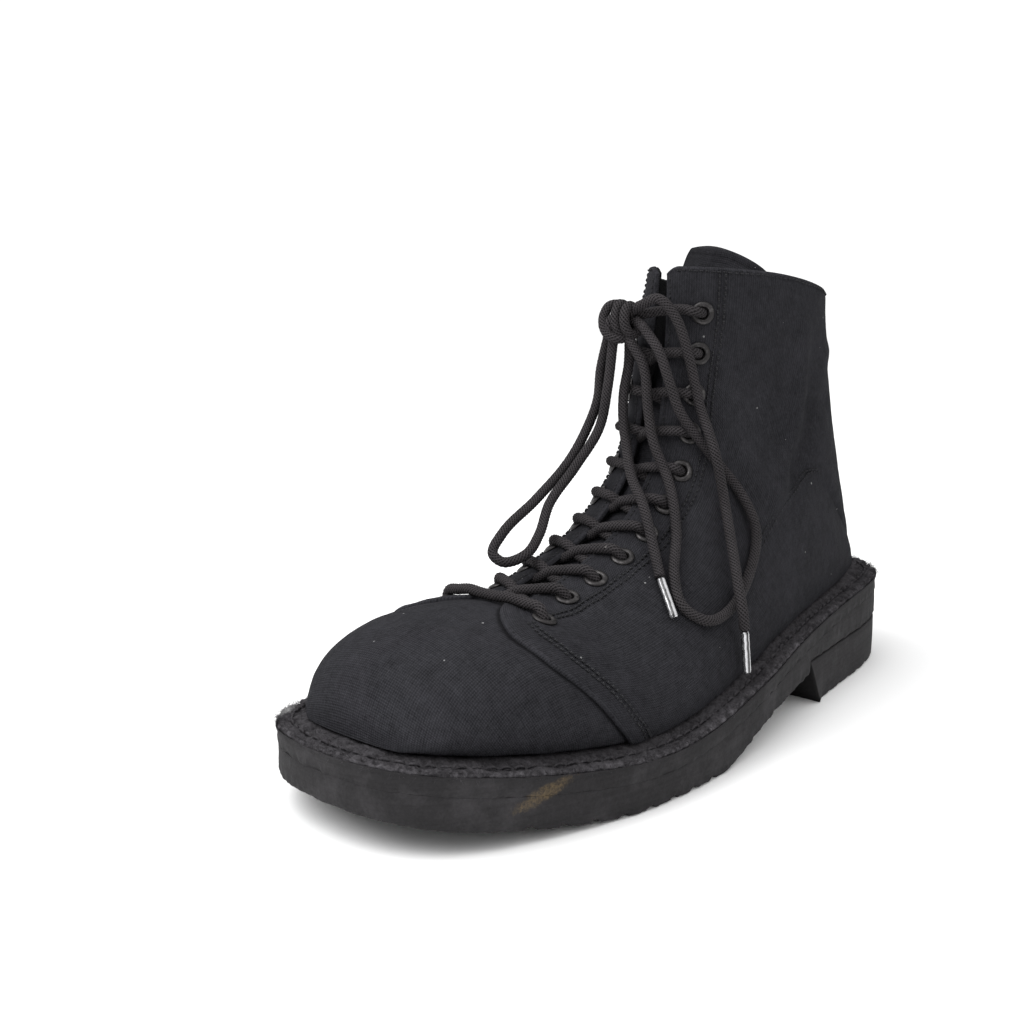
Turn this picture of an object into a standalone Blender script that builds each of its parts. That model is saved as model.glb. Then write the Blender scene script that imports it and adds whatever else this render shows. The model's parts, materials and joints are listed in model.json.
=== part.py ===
"""A left lace-up ankle boot of black canvas on a thick rubber sole, with a zip on its inner side.

Frame: metres, +Z up, the sole stands on z = 0, the toe points to -Y, the outer (lateral) side is +X.
Along the boot a place is given by u, the distance in millimetres forward from the back of the heel.
"""

import math
from collections import namedtuple

import bmesh
import bpy
import numpy as np
from mathutils import Matrix, Vector

MM = 0.001

# Driving sizes, in millimetres
SOLE_LENGTH = 302.0
SOLE_END = 0.8
WELT_LEDGE = 9.0
WELT_WIDTH = 13.0
WELT_RISE = 2.5
WELT_THICK = 2.8
MIDSOLE_THICK = 4.4
LAYER_GAP = 0.3
FEATHER_GAP = 1.0
HEEL_LIFT = 18.5
HEEL_FRONT_TOP = 100.0
HEEL_FRONT_LOW = 91.0
HEEL_SLANT_RUN = 5.0
GROOVE_DEPTH = 1.8
GROOVE_WIDTH = 3.2
GROOVE_PITCH = 11.0
GROOVE_SLOPE = 0.3
FOREFOOT_LUGS = (184.0, 262.0)
HEEL_LUGS = (22.0, 80.0)
INSOLE_THICK = 5.5
INSOLE_CLEAR = 0.9
WALL = 2.0
OVERHANG = 1.02
THROAT_HALF_GAP = 4.0
FACING_TO_EYELET = 16.0
FACING_TO_LOW_EYELET = 23.5
EYELET_COUNT = 11
EYELET_BORE = 2.1
EYELET_BARREL = 2.5
EYELET_FLANGE = 4.2
EYELET_FLANGE_LIFT = 0.5
EYELET_FLANGE_TOP = 1.3
EYELET_CREST = 3.4
EYELET_MOUTH = 1.0
EYELET_DISH = 0.2
EYELET_INSIDE = 0.2
EYELET_HOLE = 2.85
LACE_RADIUS = 1.9
LACE_LIFT = 2.5
LACE_TO_FLANGE = 0.7
TONGUE_THICK = 2.5
TONGUE_GAP = 0.9
TONGUE_LEAN = 31.0
TONGUE_HALF_WIDTH = 26.0
ZIP_U = 88.0
ZIP_HALF_WIDTH = 5.0
ZIP_TAPE_LIFT = 0.4
ZIP_TAPE_TOP = 1.1
ZIP_TEETH_TOP = 2.0
ZIP_TEETH_FOOT = 1.8
ZIP_TEETH_CREST = 1.5
SLIDER_LOW = ZIP_TEETH_TOP + 0.4
SLIDER_HIGH = ZIP_TEETH_TOP + 2.2
SLIDER_HALF_WIDTH = 3.6
SLIDER_ENDS = (-5.5, 5.0)
BRIDGE_HALF_WIDTH = 1.2
BRIDGE_POST = (2.2, 3.6)
BRIDGE_BAR = 1.1
PULL_WIRE = 0.8
PULL_LENGTH = 36.0
PULL_TOP_HALF_WIDTH = 2.6
PULL_LOW_HALF_WIDTH = 3.9
PULL_CORNER = 1.2
PULL_CLEAR = 0.4

KNOT_CENTRE = (-10.0, 1.5, 151.0)
KNOT_RADII = (8.0, 6.5, 8.0)
CORD_STEP = 10.0
AGLET_RADIUS = 1.4
AGLET_GAP = 0.5
TOP_STRAND_REACH = 6.5

# Section numbers along the upper: the throat's lowest point, first and last eyelet, collar edge
THROAT_ROW = 5.25
THROAT_ROUND_ROWS = 0.8
LOW_EYELET_ROW = 5.46
SECOND_EYELET_ROW = 6.52
LAST_EYELET_ROW = 17.9
COLLAR_ROW = 20.0
ZIP_ROWS = (11.9, 19.9)
SLIDER_ROW = 18.9
TONGUE_ROWS = (5.6, 20.85)
TONGUE_LEAN_ROW = 12.0
TONGUE_ROUND_ROWS = 0.4
PLUNGE_ROW = 13.0
PLUNGE_SPREAD = 1.5
PLUNGE = 0.3

# Half widths of the sole edge on the lateral and medial side
OutlineRow = namedtuple("OutlineRow", "u lateral medial")
SOLE_OUTLINE = [
    OutlineRow(0, 0.0, 0.0),
    OutlineRow(5, 15.5, 16.5),
    OutlineRow(15, 27.0, 28.0),
    OutlineRow(36, 34.5, 35.5),
    OutlineRow(66, 39.5, 38.5),
    OutlineRow(106, 46.0, 37.5),
    OutlineRow(151, 54.5, 41.5),
    OutlineRow(187, 57.6, 49.5),
    OutlineRow(217, 56.5, 55.5),
    OutlineRow(248, 49.5, 57.6),
    OutlineRow(272, 41.0, 52.0),
    OutlineRow(290, 29.5, 39.5),
    OutlineRow(299, 15.0, 25.0),
    OutlineRow(302, -5.0, 5.0),
]

# Height of the welt's top edge, and of the underside in front of the heel
HeightRow = namedtuple("HeightRow", "u z")
WELT_TOP = [
    HeightRow(0, 38.9),
    HeightRow(45, 37.3),
    HeightRow(90, 33.6),
    HeightRow(145, 26.0),
    HeightRow(195, 18.3),
    HeightRow(215, 17.9),
    HeightRow(242, 20.2),
    HeightRow(302, 29.6),
]
UNDERSIDE = [
    HeightRow(101, 13.6),
    HeightRow(119, 12.0),
    HeightRow(132, 10.8),
    HeightRow(146, 8.4),
    HeightRow(158, 5.0),
    HeightRow(170, 1.4),
    HeightRow(178, 0.0),
    HeightRow(224, 0.0),
    HeightRow(242, 1.6),
    HeightRow(255, 3.4),
    HeightRow(270, 5.7),
    HeightRow(285, 8.3),
    HeightRow(302, 12.3),
]

# Sections of the upper from toe to collar. Each runs from a front point over the side to an end on
# the feather line or, from the heel up, on the back seam. lift is the end's height above the feather.
Section = namedtuple("Section", "front_u front_z end_u lift lateral medial ridge_x square")
SECTIONS = [
    Section(292.0, 30.4, 287.0, 0, 13.0, 20.0, -5.0, 2.00),
    Section(290.5, 38.5, 277.0, 0, 24.0, 30.0, -5.0, 2.00),
    Section(284.5, 48.0, 263.0, 0, 34.0, 39.0, -5.5, 2.05),
    Section(274.0, 55.0, 248.0, 0, 41.0, 44.0, -6.0, 2.10),
    Section(257.0, 60.0, 232.0, 0, 46.0, 46.0, -5.5, 2.10),
    Section(238.0, 60.8, 217.0, 0, 48.0, 45.0, -4.5, 2.00),
    Section(219.0, 59.3, 201.0, 0, 49.0, 43.0, -3.0, 1.95),
    Section(201.0, 63.4, 183.0, 0, 49.0, 41.0, -2.0, 1.90),
    Section(185.5, 69.6, 162.0, 0, 48.0, 38.0, -1.0, 1.90),
    Section(172.0, 76.8, 138.0, 0, 45.0, 36.0, 0.0, 1.90),
    Section(160.5, 86.0, 112.0, 0, 41.0, 35.0, 0.0, 1.95),
    Section(152.0, 97.0, 86.0, 0, 37.5, 34.0, 0.0, 2.00),
    Section(147.8, 109.0, 60.0, 0, 35.5, 33.5, 0.0, 2.00),
    Section(146.0, 119.0, 36.0, 0, 34.0, 33.0, 0.0, 2.00),
    Section(144.8, 127.5, 17.0, 0, 33.0, 32.5, 0.0, 2.00),
    Section(143.7, 134.5, 9.1, 0, 32.5, 32.0, 0.0, 2.00),
    Section(142.4, 141.5, 16.0, 18, 32.3, 32.0, 0.0, 2.00),
    Section(141.2, 148.5, 27.5, 46, 32.5, 32.0, 0.0, 2.00),
    Section(140.4, 156.0, 37.0, 74, 32.7, 32.3, 0.0, 2.05),
    Section(140.0, 163.0, 43.0, 99, 33.0, 32.8, 0.0, 2.05),
    Section(140.0, 170.0, 47.0, 122, 33.3, 33.2, 0.0, 2.05),
    Section(140.5, 179.0, 49.0, 132, 33.3, 33.2, 0.0, 2.05),
]

# Routes of the bow, in millimetres in the boot's frame, each from the knot outwards
MEDIAL_LOOP = [
    (-15.7, -1.0, 144.6),
    (-18.2, -2.2, 132.0),
    (-19.0, -3.0, 120.5),
    (-21.5, -7.0, 108.6),
    (-22.2, -15.5, 98.5),
    (-21.0, -35.5, 86.5),
    (-19.8, -54.5, 77.0),
    (-18.6, -60.5, 71.0),
    (-14.5, -59.5, 68.5),
    (-10.0, -53.5, 70.5),
    (-12.5, -43.0, 76.0),
    (-16.0, -33.5, 85.5),
    (-17.0, -17.5, 97.5),
    (-14.6, -7.0, 111.0),
    (-12.5, -5.0, 126.0),
    (-11.4, -3.5, 142.6),
]
LATERAL_LOOP = [
    (-4.4, -2.2, 143.2),
    (1.2, -1.4, 134.0),
    (4.6, -2.6, 118.0),
    (8.4, -4.4, 107.5),
    (15.8, -4.2, 92.8),
    (24.6, -11.6, 78.0),
    (33.6, -24.6, 64.2),
    (39.8, -28.4, 56.4),
    (45.2, -22.5, 51.0),
    (45.0, -6.4, 52.0),
    (41.2, 12.0, 63.2),
    (36.9, 21.0, 75.0),
    (32.2, 19.3, 86.4),
    (22.9, 10.1, 103.3),
    (15.0, 2.6, 118.0),
    (11.4, 0.0, 130.0),
    (7.6, -1.0, 140.0),
    (-0.6, -0.2, 148.6),
]
END_1 = [
    (-7.6, 1.4, 142.0),
    (-8.2, 1.8, 134.0),
    (-8.6, -0.4, 123.5),
    (-6.6, -2.8, 112.5),
    (-2.8, -5.4, 104.0),
    (4.8, -12.0, 94.6),
    (13.6, -17.0, 87.0),
    (25.6, -24.8, 70.4),
    (30.4, -28.6, 64.9),
]
AGLET_1_TIP = (40.6, -34.0, 53.6)
END_2 = [
    (-2.2, -0.6, 155.6),
    (5.8, 0.6, 158.4),
    (11.4, 3.4, 152.0),
    (15.0, 6.6, 139.0),
    (18.4, 10.0, 120.0),
    (23.6, 8.2, 111.4),
    (28.2, 6.2, 103.8),
    (31.4, 8.8, 84.4),
    (41.2, 0.6, 67.4),
    (46.8, -4.6, 58.6),
    (49.8, -6.6, 52.4),
    (50.8, -6.4, 45.4),
]
AGLET_2_TIP = (52.0, -5.8, 29.8)

# The first section that ends on the back seam, and the two sides of the boot
HEEL_ROW = next(k for k, row in enumerate(SECTIONS) if row.end_u < WELT_LEDGE + 1)
LATERAL = 1
MEDIAL = -1


def smooth(knots, values, at):
    """Cubic curve through the knots, with the slope at each knot the mean of the slopes beside it."""
    knots = np.asarray(knots, float)
    values = np.asarray(values, float)
    steps = np.diff(values) / np.diff(knots)
    slopes = np.concatenate([steps[:1], (steps[1:] + steps[:-1]) / 2, steps[-1:]])
    at = np.clip(np.asarray(at, float), knots[0], knots[-1])
    k = np.clip(np.searchsorted(knots, at, side="right") - 1, 0, len(knots) - 2)
    width = knots[k + 1] - knots[k]
    t = (at - knots[k]) / width
    ends = values[k] * (1 + 2 * t) * (1 - t) ** 2 + values[k + 1] * t * t * (3 - 2 * t)
    return ends + width * (slopes[k] * t * (1 - t) ** 2 - slopes[k + 1] * t * t * (1 - t))


def height(table, u):
    return smooth([row.u for row in table], [row.z for row in table], u)


def turn(u):
    """Angle of u on a half circle over the sole's length, so that the outline's ends come out round."""
    return np.arccos(np.clip(1 - 2 * np.asarray(u, float) / SOLE_LENGTH, -1, 1))


def side_outline(side, ledge, count=600):
    """The sole edge of one side, moved inwards square to itself by the ledge, as arrays of u and x."""
    turns = np.linspace(0, math.pi, count)
    knots = turn([row.u for row in SOLE_OUTLINE])
    u = SOLE_LENGTH / 2 * (1 - np.cos(turns))
    half = [row.lateral if side == LATERAL else row.medial for row in SOLE_OUTLINE]
    x = side * smooth(knots, half, turns)
    along_u, along_x = np.gradient(u), np.gradient(x)
    length = np.hypot(along_u, along_x)
    return u + side * along_x / length * ledge, x - side * along_u / length * ledge


def outline(u, ledge=0.0):
    """Lateral and medial x, in millimetres, of the sole outline moved inwards by the ledge."""
    return tuple(np.interp(u, *side_outline(side, ledge)) for side in (LATERAL, MEDIAL))


def welt_top(u):
    return height(WELT_TOP, u)


def feather(u):
    """Height of the upper's lower edge, which stands on the welt's sloping top."""
    return welt_top(u) + WELT_RISE * WELT_LEDGE / WELT_WIDTH + FEATHER_GAP


def world(x, u, z):
    """Points in metres from x, u and z in millimetres."""
    return np.stack(np.broadcast_arrays(x, SOLE_LENGTH / 2 - np.asarray(u, float), z), axis=-1) * MM


def material(name, colour, roughness, metallic=0.0):
    made = bpy.data.materials.new(name)
    made.use_nodes = True
    shader = made.node_tree.nodes["Principled BSDF"]
    shader.inputs["Base Color"].default_value = (*colour, 1)
    shader.inputs["Roughness"].default_value = roughness
    shader.inputs["Metallic"].default_value = metallic
    return made


def inside_out(bm):
    """Whether the shape's volume comes out negative, summed about its own middle to stay exact."""
    middle = np.mean([vert.co for vert in bm.verts], axis=0)
    corners = [[loop.vert.co for loop in loops] for loops in bm.calc_loop_triangles()]
    return np.linalg.det(np.array(corners, float) - middle).sum() < 0


def place(name, bm, finish, smooth_angle=40):
    """Makes the named object of a bmesh, with its doubles merged and its faces turned outwards."""
    bmesh.ops.remove_doubles(bm, verts=bm.verts, dist=0.01 * MM)
    bmesh.ops.recalc_face_normals(bm, faces=bm.faces)
    if inside_out(bm):
        bmesh.ops.reverse_faces(bm, faces=bm.faces)
    mesh = bpy.data.meshes.new(name)
    bm.to_mesh(mesh)
    bm.free()
    mesh.shade_smooth()
    mesh.set_sharp_from_angle(angle=math.radians(smooth_angle))
    mesh.materials.append(finish)
    obj = bpy.data.objects.new(name, mesh)
    bpy.context.scene.collection.objects.link(obj)
    return obj


def add_grid(bm, points, around=False):
    """Adds a grid of points with a quad in each cell, and returns its vertices row by row."""
    grid = [[bm.verts.new(point) for point in row] for row in points]
    for row, after in zip(grid, grid[1:]):
        count = len(row)
        for k in range(count if around else count - 1):
            n = (k + 1) % count
            bm.faces.new((row[k], row[n], after[n], after[k]))
    return grid


def closed_sheet(bm, low, high):
    """A solid between two grids of points of one size."""
    low_grid = add_grid(bm, low)
    high_grid = add_grid(bm, high)
    rim = [grid_rim(low_grid), grid_rim(high_grid)]
    for k in range(len(rim[0])):
        n = (k + 1) % len(rim[0])
        bm.faces.new((rim[0][k], rim[0][n], rim[1][n], rim[1][k]))


def grid_rim(grid):
    right = [row[-1] for row in grid[1:-1]]
    left = [row[0] for row in grid[1:-1]]
    return grid[0] + right + grid[-1][::-1] + left[::-1]


def add_tube(bm, points, radius, sides=6):
    """A round tube with flat ends along the points."""
    points = [Vector(point) for point in points]
    rings = []
    side = None
    for k, point in enumerate(points):
        along = (points[min(k + 1, len(points) - 1)] - points[max(k - 1, 0)]).normalized()
        side = (side or along.orthogonal()) - along * (side or along.orthogonal()).dot(along)
        side.normalize()
        other = along.cross(side)
        angles = [2 * math.pi * n / sides for n in range(sides)]
        rings.append([point + (side * math.cos(a) + other * math.sin(a)) * radius for a in angles])
    grid = add_grid(bm, rings, around=True)
    bm.faces.new(grid[0][::-1])
    bm.faces.new(grid[-1])


def add_box(bm, frame, low, high):
    """A box between two corners of a local frame."""
    made = bmesh.ops.create_cube(bm, size=1)["verts"]
    for vert in made:
        corner = [b if c > 0 else a for c, a, b in zip(vert.co, low, high)]
        vert.co = frame @ (Vector(corner) * MM)


# Sole


def sole_stations(first, last, count, extra=()):
    """Places along the sole, closer together at its two ends, with extra places put in."""
    angles = np.linspace(turn(first), turn(last), count)
    places = np.concatenate([SOLE_LENGTH / 2 * (1 - np.cos(angles)), np.asarray(extra, float)])
    return np.unique(np.round(places, 2))


def plate(name, top_u, low_u, top_z, low_z, finish, ledge=0.0):
    """A layer of the sole: at each station a straight-sided slice between two heights."""
    bm = bmesh.new()
    lateral_top, medial_top = outline(top_u, ledge)
    lateral_low, medial_low = outline(low_u, ledge)
    corners = [
        world(lateral_top, top_u, top_z),
        world(medial_top, top_u, top_z),
        world(medial_low, low_u, low_z),
        world(lateral_low, low_u, low_z),
    ]
    grid = add_grid(bm, np.stack(corners, axis=1), around=True)
    bm.faces.new(grid[0])
    bm.faces.new(grid[-1])
    return place(name, bm, finish)


def groove_edges(span):
    """Places along a span of the top and bottom edges of its cross grooves, and of their middles."""
    centres = np.arange(span[0], span[1] + 1, GROOVE_PITCH)
    half = GROOVE_WIDTH / 2
    wide = half + GROOVE_SLOPE
    edges = np.concatenate([centres - wide, centres - half, centres + half, centres + wide])
    return edges, centres


def groove_depth(u, centres):
    """Groove depth at the places that lie within half a groove's width of a groove's middle."""
    away = np.abs(u[:, None] - centres[None, :]).min(axis=1)
    return np.where(away <= (GROOVE_WIDTH + GROOVE_SLOPE) / 2, GROOVE_DEPTH, 0.0)


def build_sole(rubber, strip_finish, foam):
    end = SOLE_END
    edges, centres = groove_edges(FOREFOOT_LUGS)
    step = (HEEL_FRONT_TOP + LAYER_GAP, HEEL_FRONT_TOP + 2 * LAYER_GAP)
    u = sole_stations(end, SOLE_LENGTH - end, 42, [*edges, *step])
    low = np.maximum(height(UNDERSIDE, u), 0.0) + groove_depth(u, centres)
    low = np.where(u < step[1], HEEL_LIFT + LAYER_GAP, low)
    midsole_low = welt_top(u) - WELT_THICK - LAYER_GAP - MIDSOLE_THICK
    plate("outsole", u, u, midsole_low - LAYER_GAP, low, rubber)

    edges, centres = groove_edges(HEEL_LUGS)
    top_u = sole_stations(end, HEEL_FRONT_TOP, 20, edges)
    slant = HEEL_FRONT_LOW - HEEL_SLANT_RUN
    low_u = np.interp(top_u, [0, slant, HEEL_FRONT_TOP], [0, slant, HEEL_FRONT_LOW])
    plate("heel", top_u, low_u, np.full(len(top_u), HEEL_LIFT), groove_depth(low_u, centres), rubber)

    u = sole_stations(end, SOLE_LENGTH - end, 40)
    midsole_top = welt_top(u) - WELT_THICK - LAYER_GAP
    plate("midsole", u, u, midsole_top, midsole_top - MIDSOLE_THICK, rubber)

    inside = WELT_WIDTH + INSOLE_CLEAR
    u = sole_stations(inside + end, SOLE_LENGTH - inside - end, 26)
    seat = welt_top(u) - WELT_THICK
    plate("insole", u, u, seat + INSOLE_THICK, seat, foam, ledge=inside)
    build_welt(strip_finish)


def build_welt(finish):
    """A strip round the sole's edge whose top rises inwards to the upper."""
    bm = bmesh.new()
    half = np.linspace(0, math.pi, 31)
    turns = np.concatenate([half[1:-1], half[1:-1][::-1]])
    sides = np.repeat([0, 1], len(half) - 2)

    def loop(ledge):
        span = SOLE_LENGTH - 2 * ledge
        u = ledge + span / 2 * (1 - np.cos(turns))
        x = np.where(sides == 0, *outline(u, ledge))
        return x, u

    x_out, u_out = loop(0.0)
    x_in, u_in = loop(WELT_WIDTH)
    rings = [
        world(x_out, u_out, welt_top(u_out)),
        world(x_out, u_out, welt_top(u_out) - WELT_THICK),
        world(x_in, u_in, welt_top(u_in) - WELT_THICK),
        world(x_in, u_in, welt_top(u_in) + WELT_RISE),
    ]
    grid = np.stack(rings + rings[:1], axis=0)
    add_grid(bm, grid, around=True)
    place("welt", bm, finish)


# Upper


def section_value(row, column):
    values = [getattr(section, column) for section in SECTIONS]
    return float(smooth(np.arange(len(SECTIONS)), values, row))


def section_curve(row, side, count=240):
    """One half of a section: x, u, z points from the front line to the end, and their arc lengths.

    Across goes as sin^(2/n) and along as cos^(2/n) of an angle that runs to a quarter turn where the
    end is the feather line's widest place and to a half turn where the two halves meet at the back.
    """
    front_u, front_z = section_value(row, "front_u"), section_value(row, "front_z")
    end_u = section_value(row, "end_u")
    end_z = float(feather(end_u)) + max(section_value(row, "lift"), 0.0)
    ridge = section_value(row, "ridge_x")
    power = 2 / section_value(row, "square")
    reach = section_value(row, "lateral" if side == LATERAL else "medial") - side * ridge
    end_x = 0.0
    if row < HEEL_ROW:
        end_x = abs(float(outline(end_u, WELT_LEDGE)[0 if side == LATERAL else 1]) - ridge)
    reach = max(reach, OVERHANG * end_x)
    last = math.pi - math.asin(min(1.0, (end_x / reach) ** (1 / power)))
    angle = np.linspace(0, last, count)
    cosine = np.sign(np.cos(angle)) * np.abs(np.cos(angle)) ** power
    down = (1 - cosine) / (1 - cosine[-1])
    across = np.abs(np.sin(angle)) ** power
    across[-1] = end_x / reach
    x = ridge + side * reach * across
    plunge = heel_plunge(row)
    dip = (1 - plunge) * down + plunge * (1 - np.sqrt(1 - (angle / last) ** 2))
    points = np.stack([x, front_u + (end_u - front_u) * down, front_z + (end_z - front_z) * dip], axis=1)
    lengths = np.concatenate([[0], np.cumsum(np.linalg.norm(np.diff(points, axis=0), axis=1))])
    return points, lengths


def heel_plunge(row):
    """How far a section round the heel dips steeply at its end, so that it meets the feather line well."""
    return PLUNGE * math.exp(-(((row - PLUNGE_ROW) / PLUNGE_SPREAD) ** 2))


def on_section(row, side, distances):
    """Points of the upper's outer face, in metres, at distances from the front line along a section."""
    points, lengths = section_curve(row, side)
    x, u, z = (np.interp(distances, lengths, points[:, k]) for k in range(3))
    return world(x, u, z)


def on_upper(row, across):
    """One point of the outer face; across is positive on the lateral side."""
    side = LATERAL if across >= 0 else MEDIAL
    return Vector(on_section(row, side, [abs(across)])[0])


def outward(row, across):
    """Direction square to the outer face, from the steps along and across it."""
    step_row, step_across = 0.06, 0.8
    along = on_upper(row + step_row, across) - on_upper(row - step_row, across)
    sideways = on_upper(row, across + step_across) - on_upper(row, across - step_across)
    return sideways.cross(along).normalized()


def raised(row, across, lift):
    return on_upper(row, across) + outward(row, across) * lift * MM


def throat_gap(row):
    """Half width of the throat at a section, round at its lower end."""
    opened = min(max((row - THROAT_ROW) / THROAT_ROUND_ROWS, 0.0), 1.0)
    return THROAT_HALF_GAP * opened * (2 - opened)


def upper_rows():
    toe = np.linspace(0, THROAT_ROW, 12)[:-1]
    throat = np.linspace(THROAT_ROW, HEEL_ROW, 19)
    shaft = np.linspace(HEEL_ROW, COLLAR_ROW, 9)[1:]
    return np.concatenate([toe, throat, shaft])


def build_upper(finish):
    """The canvas wall as one sheet from the sections, thickened inwards and holed for the eyelets."""
    bm = bmesh.new()
    columns = np.linspace(0, 1, 12)
    for side in (LATERAL, MEDIAL):
        grid = []
        for row in upper_rows():
            length = section_curve(row, side)[1][-1]
            gap = throat_gap(row)
            grid.append(on_section(row, side, gap + (length - gap) * columns))
        add_grid(bm, grid)
    upper = place("upper", bm, finish, smooth_angle=60)
    wall = upper.modifiers.new("wall", "SOLIDIFY")
    wall.thickness = WALL * MM
    wall.offset = -1
    wall.use_even_offset = True
    holes = upper.modifiers.new("eyelet_holes", "BOOLEAN")
    holes.operation = "DIFFERENCE"
    holes.solver = "EXACT"
    holes.object = eyelet_hole_cutter(finish)
    return upper


def eyelet_rows():
    """Section numbers of the eyelets: the lowest, then the others an equal way apart along the facing."""
    rows = np.linspace(SECOND_EYELET_ROW, LAST_EYELET_ROW, 200)
    line = np.array([on_upper(row, FACING_TO_EYELET) for row in rows])
    lengths = np.concatenate([[0], np.cumsum(np.linalg.norm(np.diff(line, axis=0), axis=1))])
    others = np.interp(np.linspace(0, lengths[-1], EYELET_COUNT - 1), lengths, rows)
    return np.concatenate([[LOW_EYELET_ROW], others])


def eyelet_frame(row, across):
    """Places an eyelet's local frame on the facing, with its Z axis outwards."""
    turned = outward(row, across).to_track_quat("Z", "Y").to_matrix().to_4x4()
    return Matrix.Translation(on_upper(row, across)) @ turned


def eyelet_places():
    for number, row in enumerate(eyelet_rows(), start=1):
        across = FACING_TO_LOW_EYELET if number == 1 else FACING_TO_EYELET
        yield f"eyelet_lateral_{number:02d}", eyelet_frame(row, across)
        yield f"eyelet_medial_{number:02d}", eyelet_frame(row, -across)


def eyelet_hole_cutter(finish):
    bm = bmesh.new()
    for _, frame in eyelet_places():
        bmesh.ops.create_cone(
            bm,
            cap_ends=True,
            segments=8,
            radius1=EYELET_HOLE * MM,
            radius2=EYELET_HOLE * MM,
            depth=4 * WALL * MM,
            matrix=frame @ Matrix.Translation((0, 0, -WALL / 2 * MM)),
        )
    cutter = place("eyelet_hole_cutter", bm, finish)
    cutter.hide_render = True
    cutter.display_type = "WIRE"
    return cutter


def build_eyelets(finish):
    """Each eyelet is a turned ring: a barrel through the wall with a flange on the outside."""
    inner_end = -(WALL + EYELET_INSIDE)
    profile = [
        (EYELET_FLANGE, EYELET_FLANGE_LIFT),
        (EYELET_CREST, EYELET_FLANGE_TOP),
        (EYELET_BORE, EYELET_MOUTH),
        (EYELET_BORE, inner_end),
        (EYELET_BARREL, inner_end + EYELET_DISH),
        (EYELET_BARREL, EYELET_FLANGE_LIFT + EYELET_DISH),
    ]
    turns = np.linspace(0, 2 * math.pi, 8, endpoint=False)
    for name, frame in eyelet_places():
        bm = bmesh.new()
        rings = [
            [frame @ (Vector((r * math.cos(a), r * math.sin(a), h)) * MM) for a in turns]
            for r, h in profile + profile[:1]
        ]
        add_grid(bm, rings, around=True)
        place(name, bm, finish)


def build_tongue(finish):
    """A padded strip under the facings that leans back as it nears the collar and stands above it."""
    rows = np.linspace(*TONGUE_ROWS, 20)
    across = np.linspace(-1, 1, 7)
    depth = WALL + TONGUE_GAP
    round_row = COLLAR_ROW - TONGUE_ROUND_ROWS
    outer, inner = [], []
    for row in rows:
        leaning = max(0.0, (row - TONGUE_LEAN_ROW) / (TONGUE_ROWS[1] - TONGUE_LEAN_ROW))
        lean = Vector((0, TONGUE_LEAN * MM, 0)) * leaning**1.5
        top = max(0.0, (row - round_row) / (TONGUE_ROWS[1] - round_row))
        half = TONGUE_HALF_WIDTH * math.sqrt(1 - 0.5 * top**3)
        outer.append([raised(row, half * t, -depth) + lean for t in across])
        inner.append([raised(row, half * t, -depth - TONGUE_THICK) + lean for t in across])
    bm = bmesh.new()
    closed_sheet(bm, outer, inner)
    place("tongue", bm, finish)


# Zip


def zip_across(row):
    """Distance from the front line, on the medial side, where the section reaches the zip's line."""
    points, lengths = section_curve(row, MEDIAL)
    return float(np.interp(-ZIP_U, -points[:, 1], lengths))


def build_zip(tape, metal):
    """The tape with its band of teeth, and a slider whose bridge of two posts and a bar holds the pull."""
    rows = np.linspace(*ZIP_ROWS, 14)
    foot, crest = ZIP_TEETH_FOOT, ZIP_TEETH_CREST
    offsets = [-ZIP_HALF_WIDTH, -foot, -crest, crest, foot, ZIP_HALF_WIDTH]
    tops = [ZIP_TAPE_TOP, ZIP_TAPE_TOP, ZIP_TEETH_TOP, ZIP_TEETH_TOP, ZIP_TAPE_TOP, ZIP_TAPE_TOP]
    low, high = [], []
    for row in rows:
        middle = zip_across(row)
        low.append([raised(row, -(middle + t), ZIP_TAPE_LIFT) for t in offsets])
        high.append([raised(row, -(middle + t), top) for t, top in zip(offsets, tops)])
    bm = bmesh.new()
    closed_sheet(bm, low, high)
    place("zip_tape", bm, tape)

    frame = slider_frame()
    bm = bmesh.new()
    low_end, high_end = SLIDER_ENDS
    half = SLIDER_HALF_WIDTH
    add_box(bm, frame, (-half, low_end, SLIDER_LOW), (half, high_end, SLIDER_HIGH))
    slider = place("zip_slider", bm, metal)
    bm = bmesh.new()
    half = BRIDGE_HALF_WIDTH
    near, far = BRIDGE_POST
    root = SLIDER_HIGH - PULL_CLEAR
    under = SLIDER_HIGH + 2 * (PULL_WIRE + PULL_CLEAR)
    top = under + BRIDGE_BAR
    add_box(bm, frame, (-half, -far, root), (half, -near, top))
    add_box(bm, frame, (-half, near, root), (half, far, top))
    posts = place("slider_posts", bm, metal)
    bm = bmesh.new()
    middle = (near + far) / 2
    add_box(bm, frame, (-half, -middle, under), (half, middle, top))
    bar = place("slider_bar", bm, metal)
    for helper in (posts, bar):
        join = slider.modifiers.new(helper.name, "BOOLEAN")
        join.operation = "UNION"
        join.solver = "EXACT"
        join.object = helper
        helper.hide_render = True
        helper.display_type = "WIRE"
    build_pull(frame, SLIDER_HIGH + PULL_CLEAR + PULL_WIRE, metal)


def slider_frame():
    """The slider's local frame: X level along the boot, Y up the zip, Z outwards."""
    across = -zip_across(SLIDER_ROW)
    outwards = outward(SLIDER_ROW, across)
    above = on_upper(SLIDER_ROW + 0.4, -zip_across(SLIDER_ROW + 0.4))
    up = above - on_upper(SLIDER_ROW, across)
    up = (up - outwards * up.dot(outwards)).normalized()
    turned = Matrix((up.cross(outwards), up, outwards)).transposed().to_4x4()
    return Matrix.Translation(on_upper(SLIDER_ROW, across)) @ turned


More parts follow.
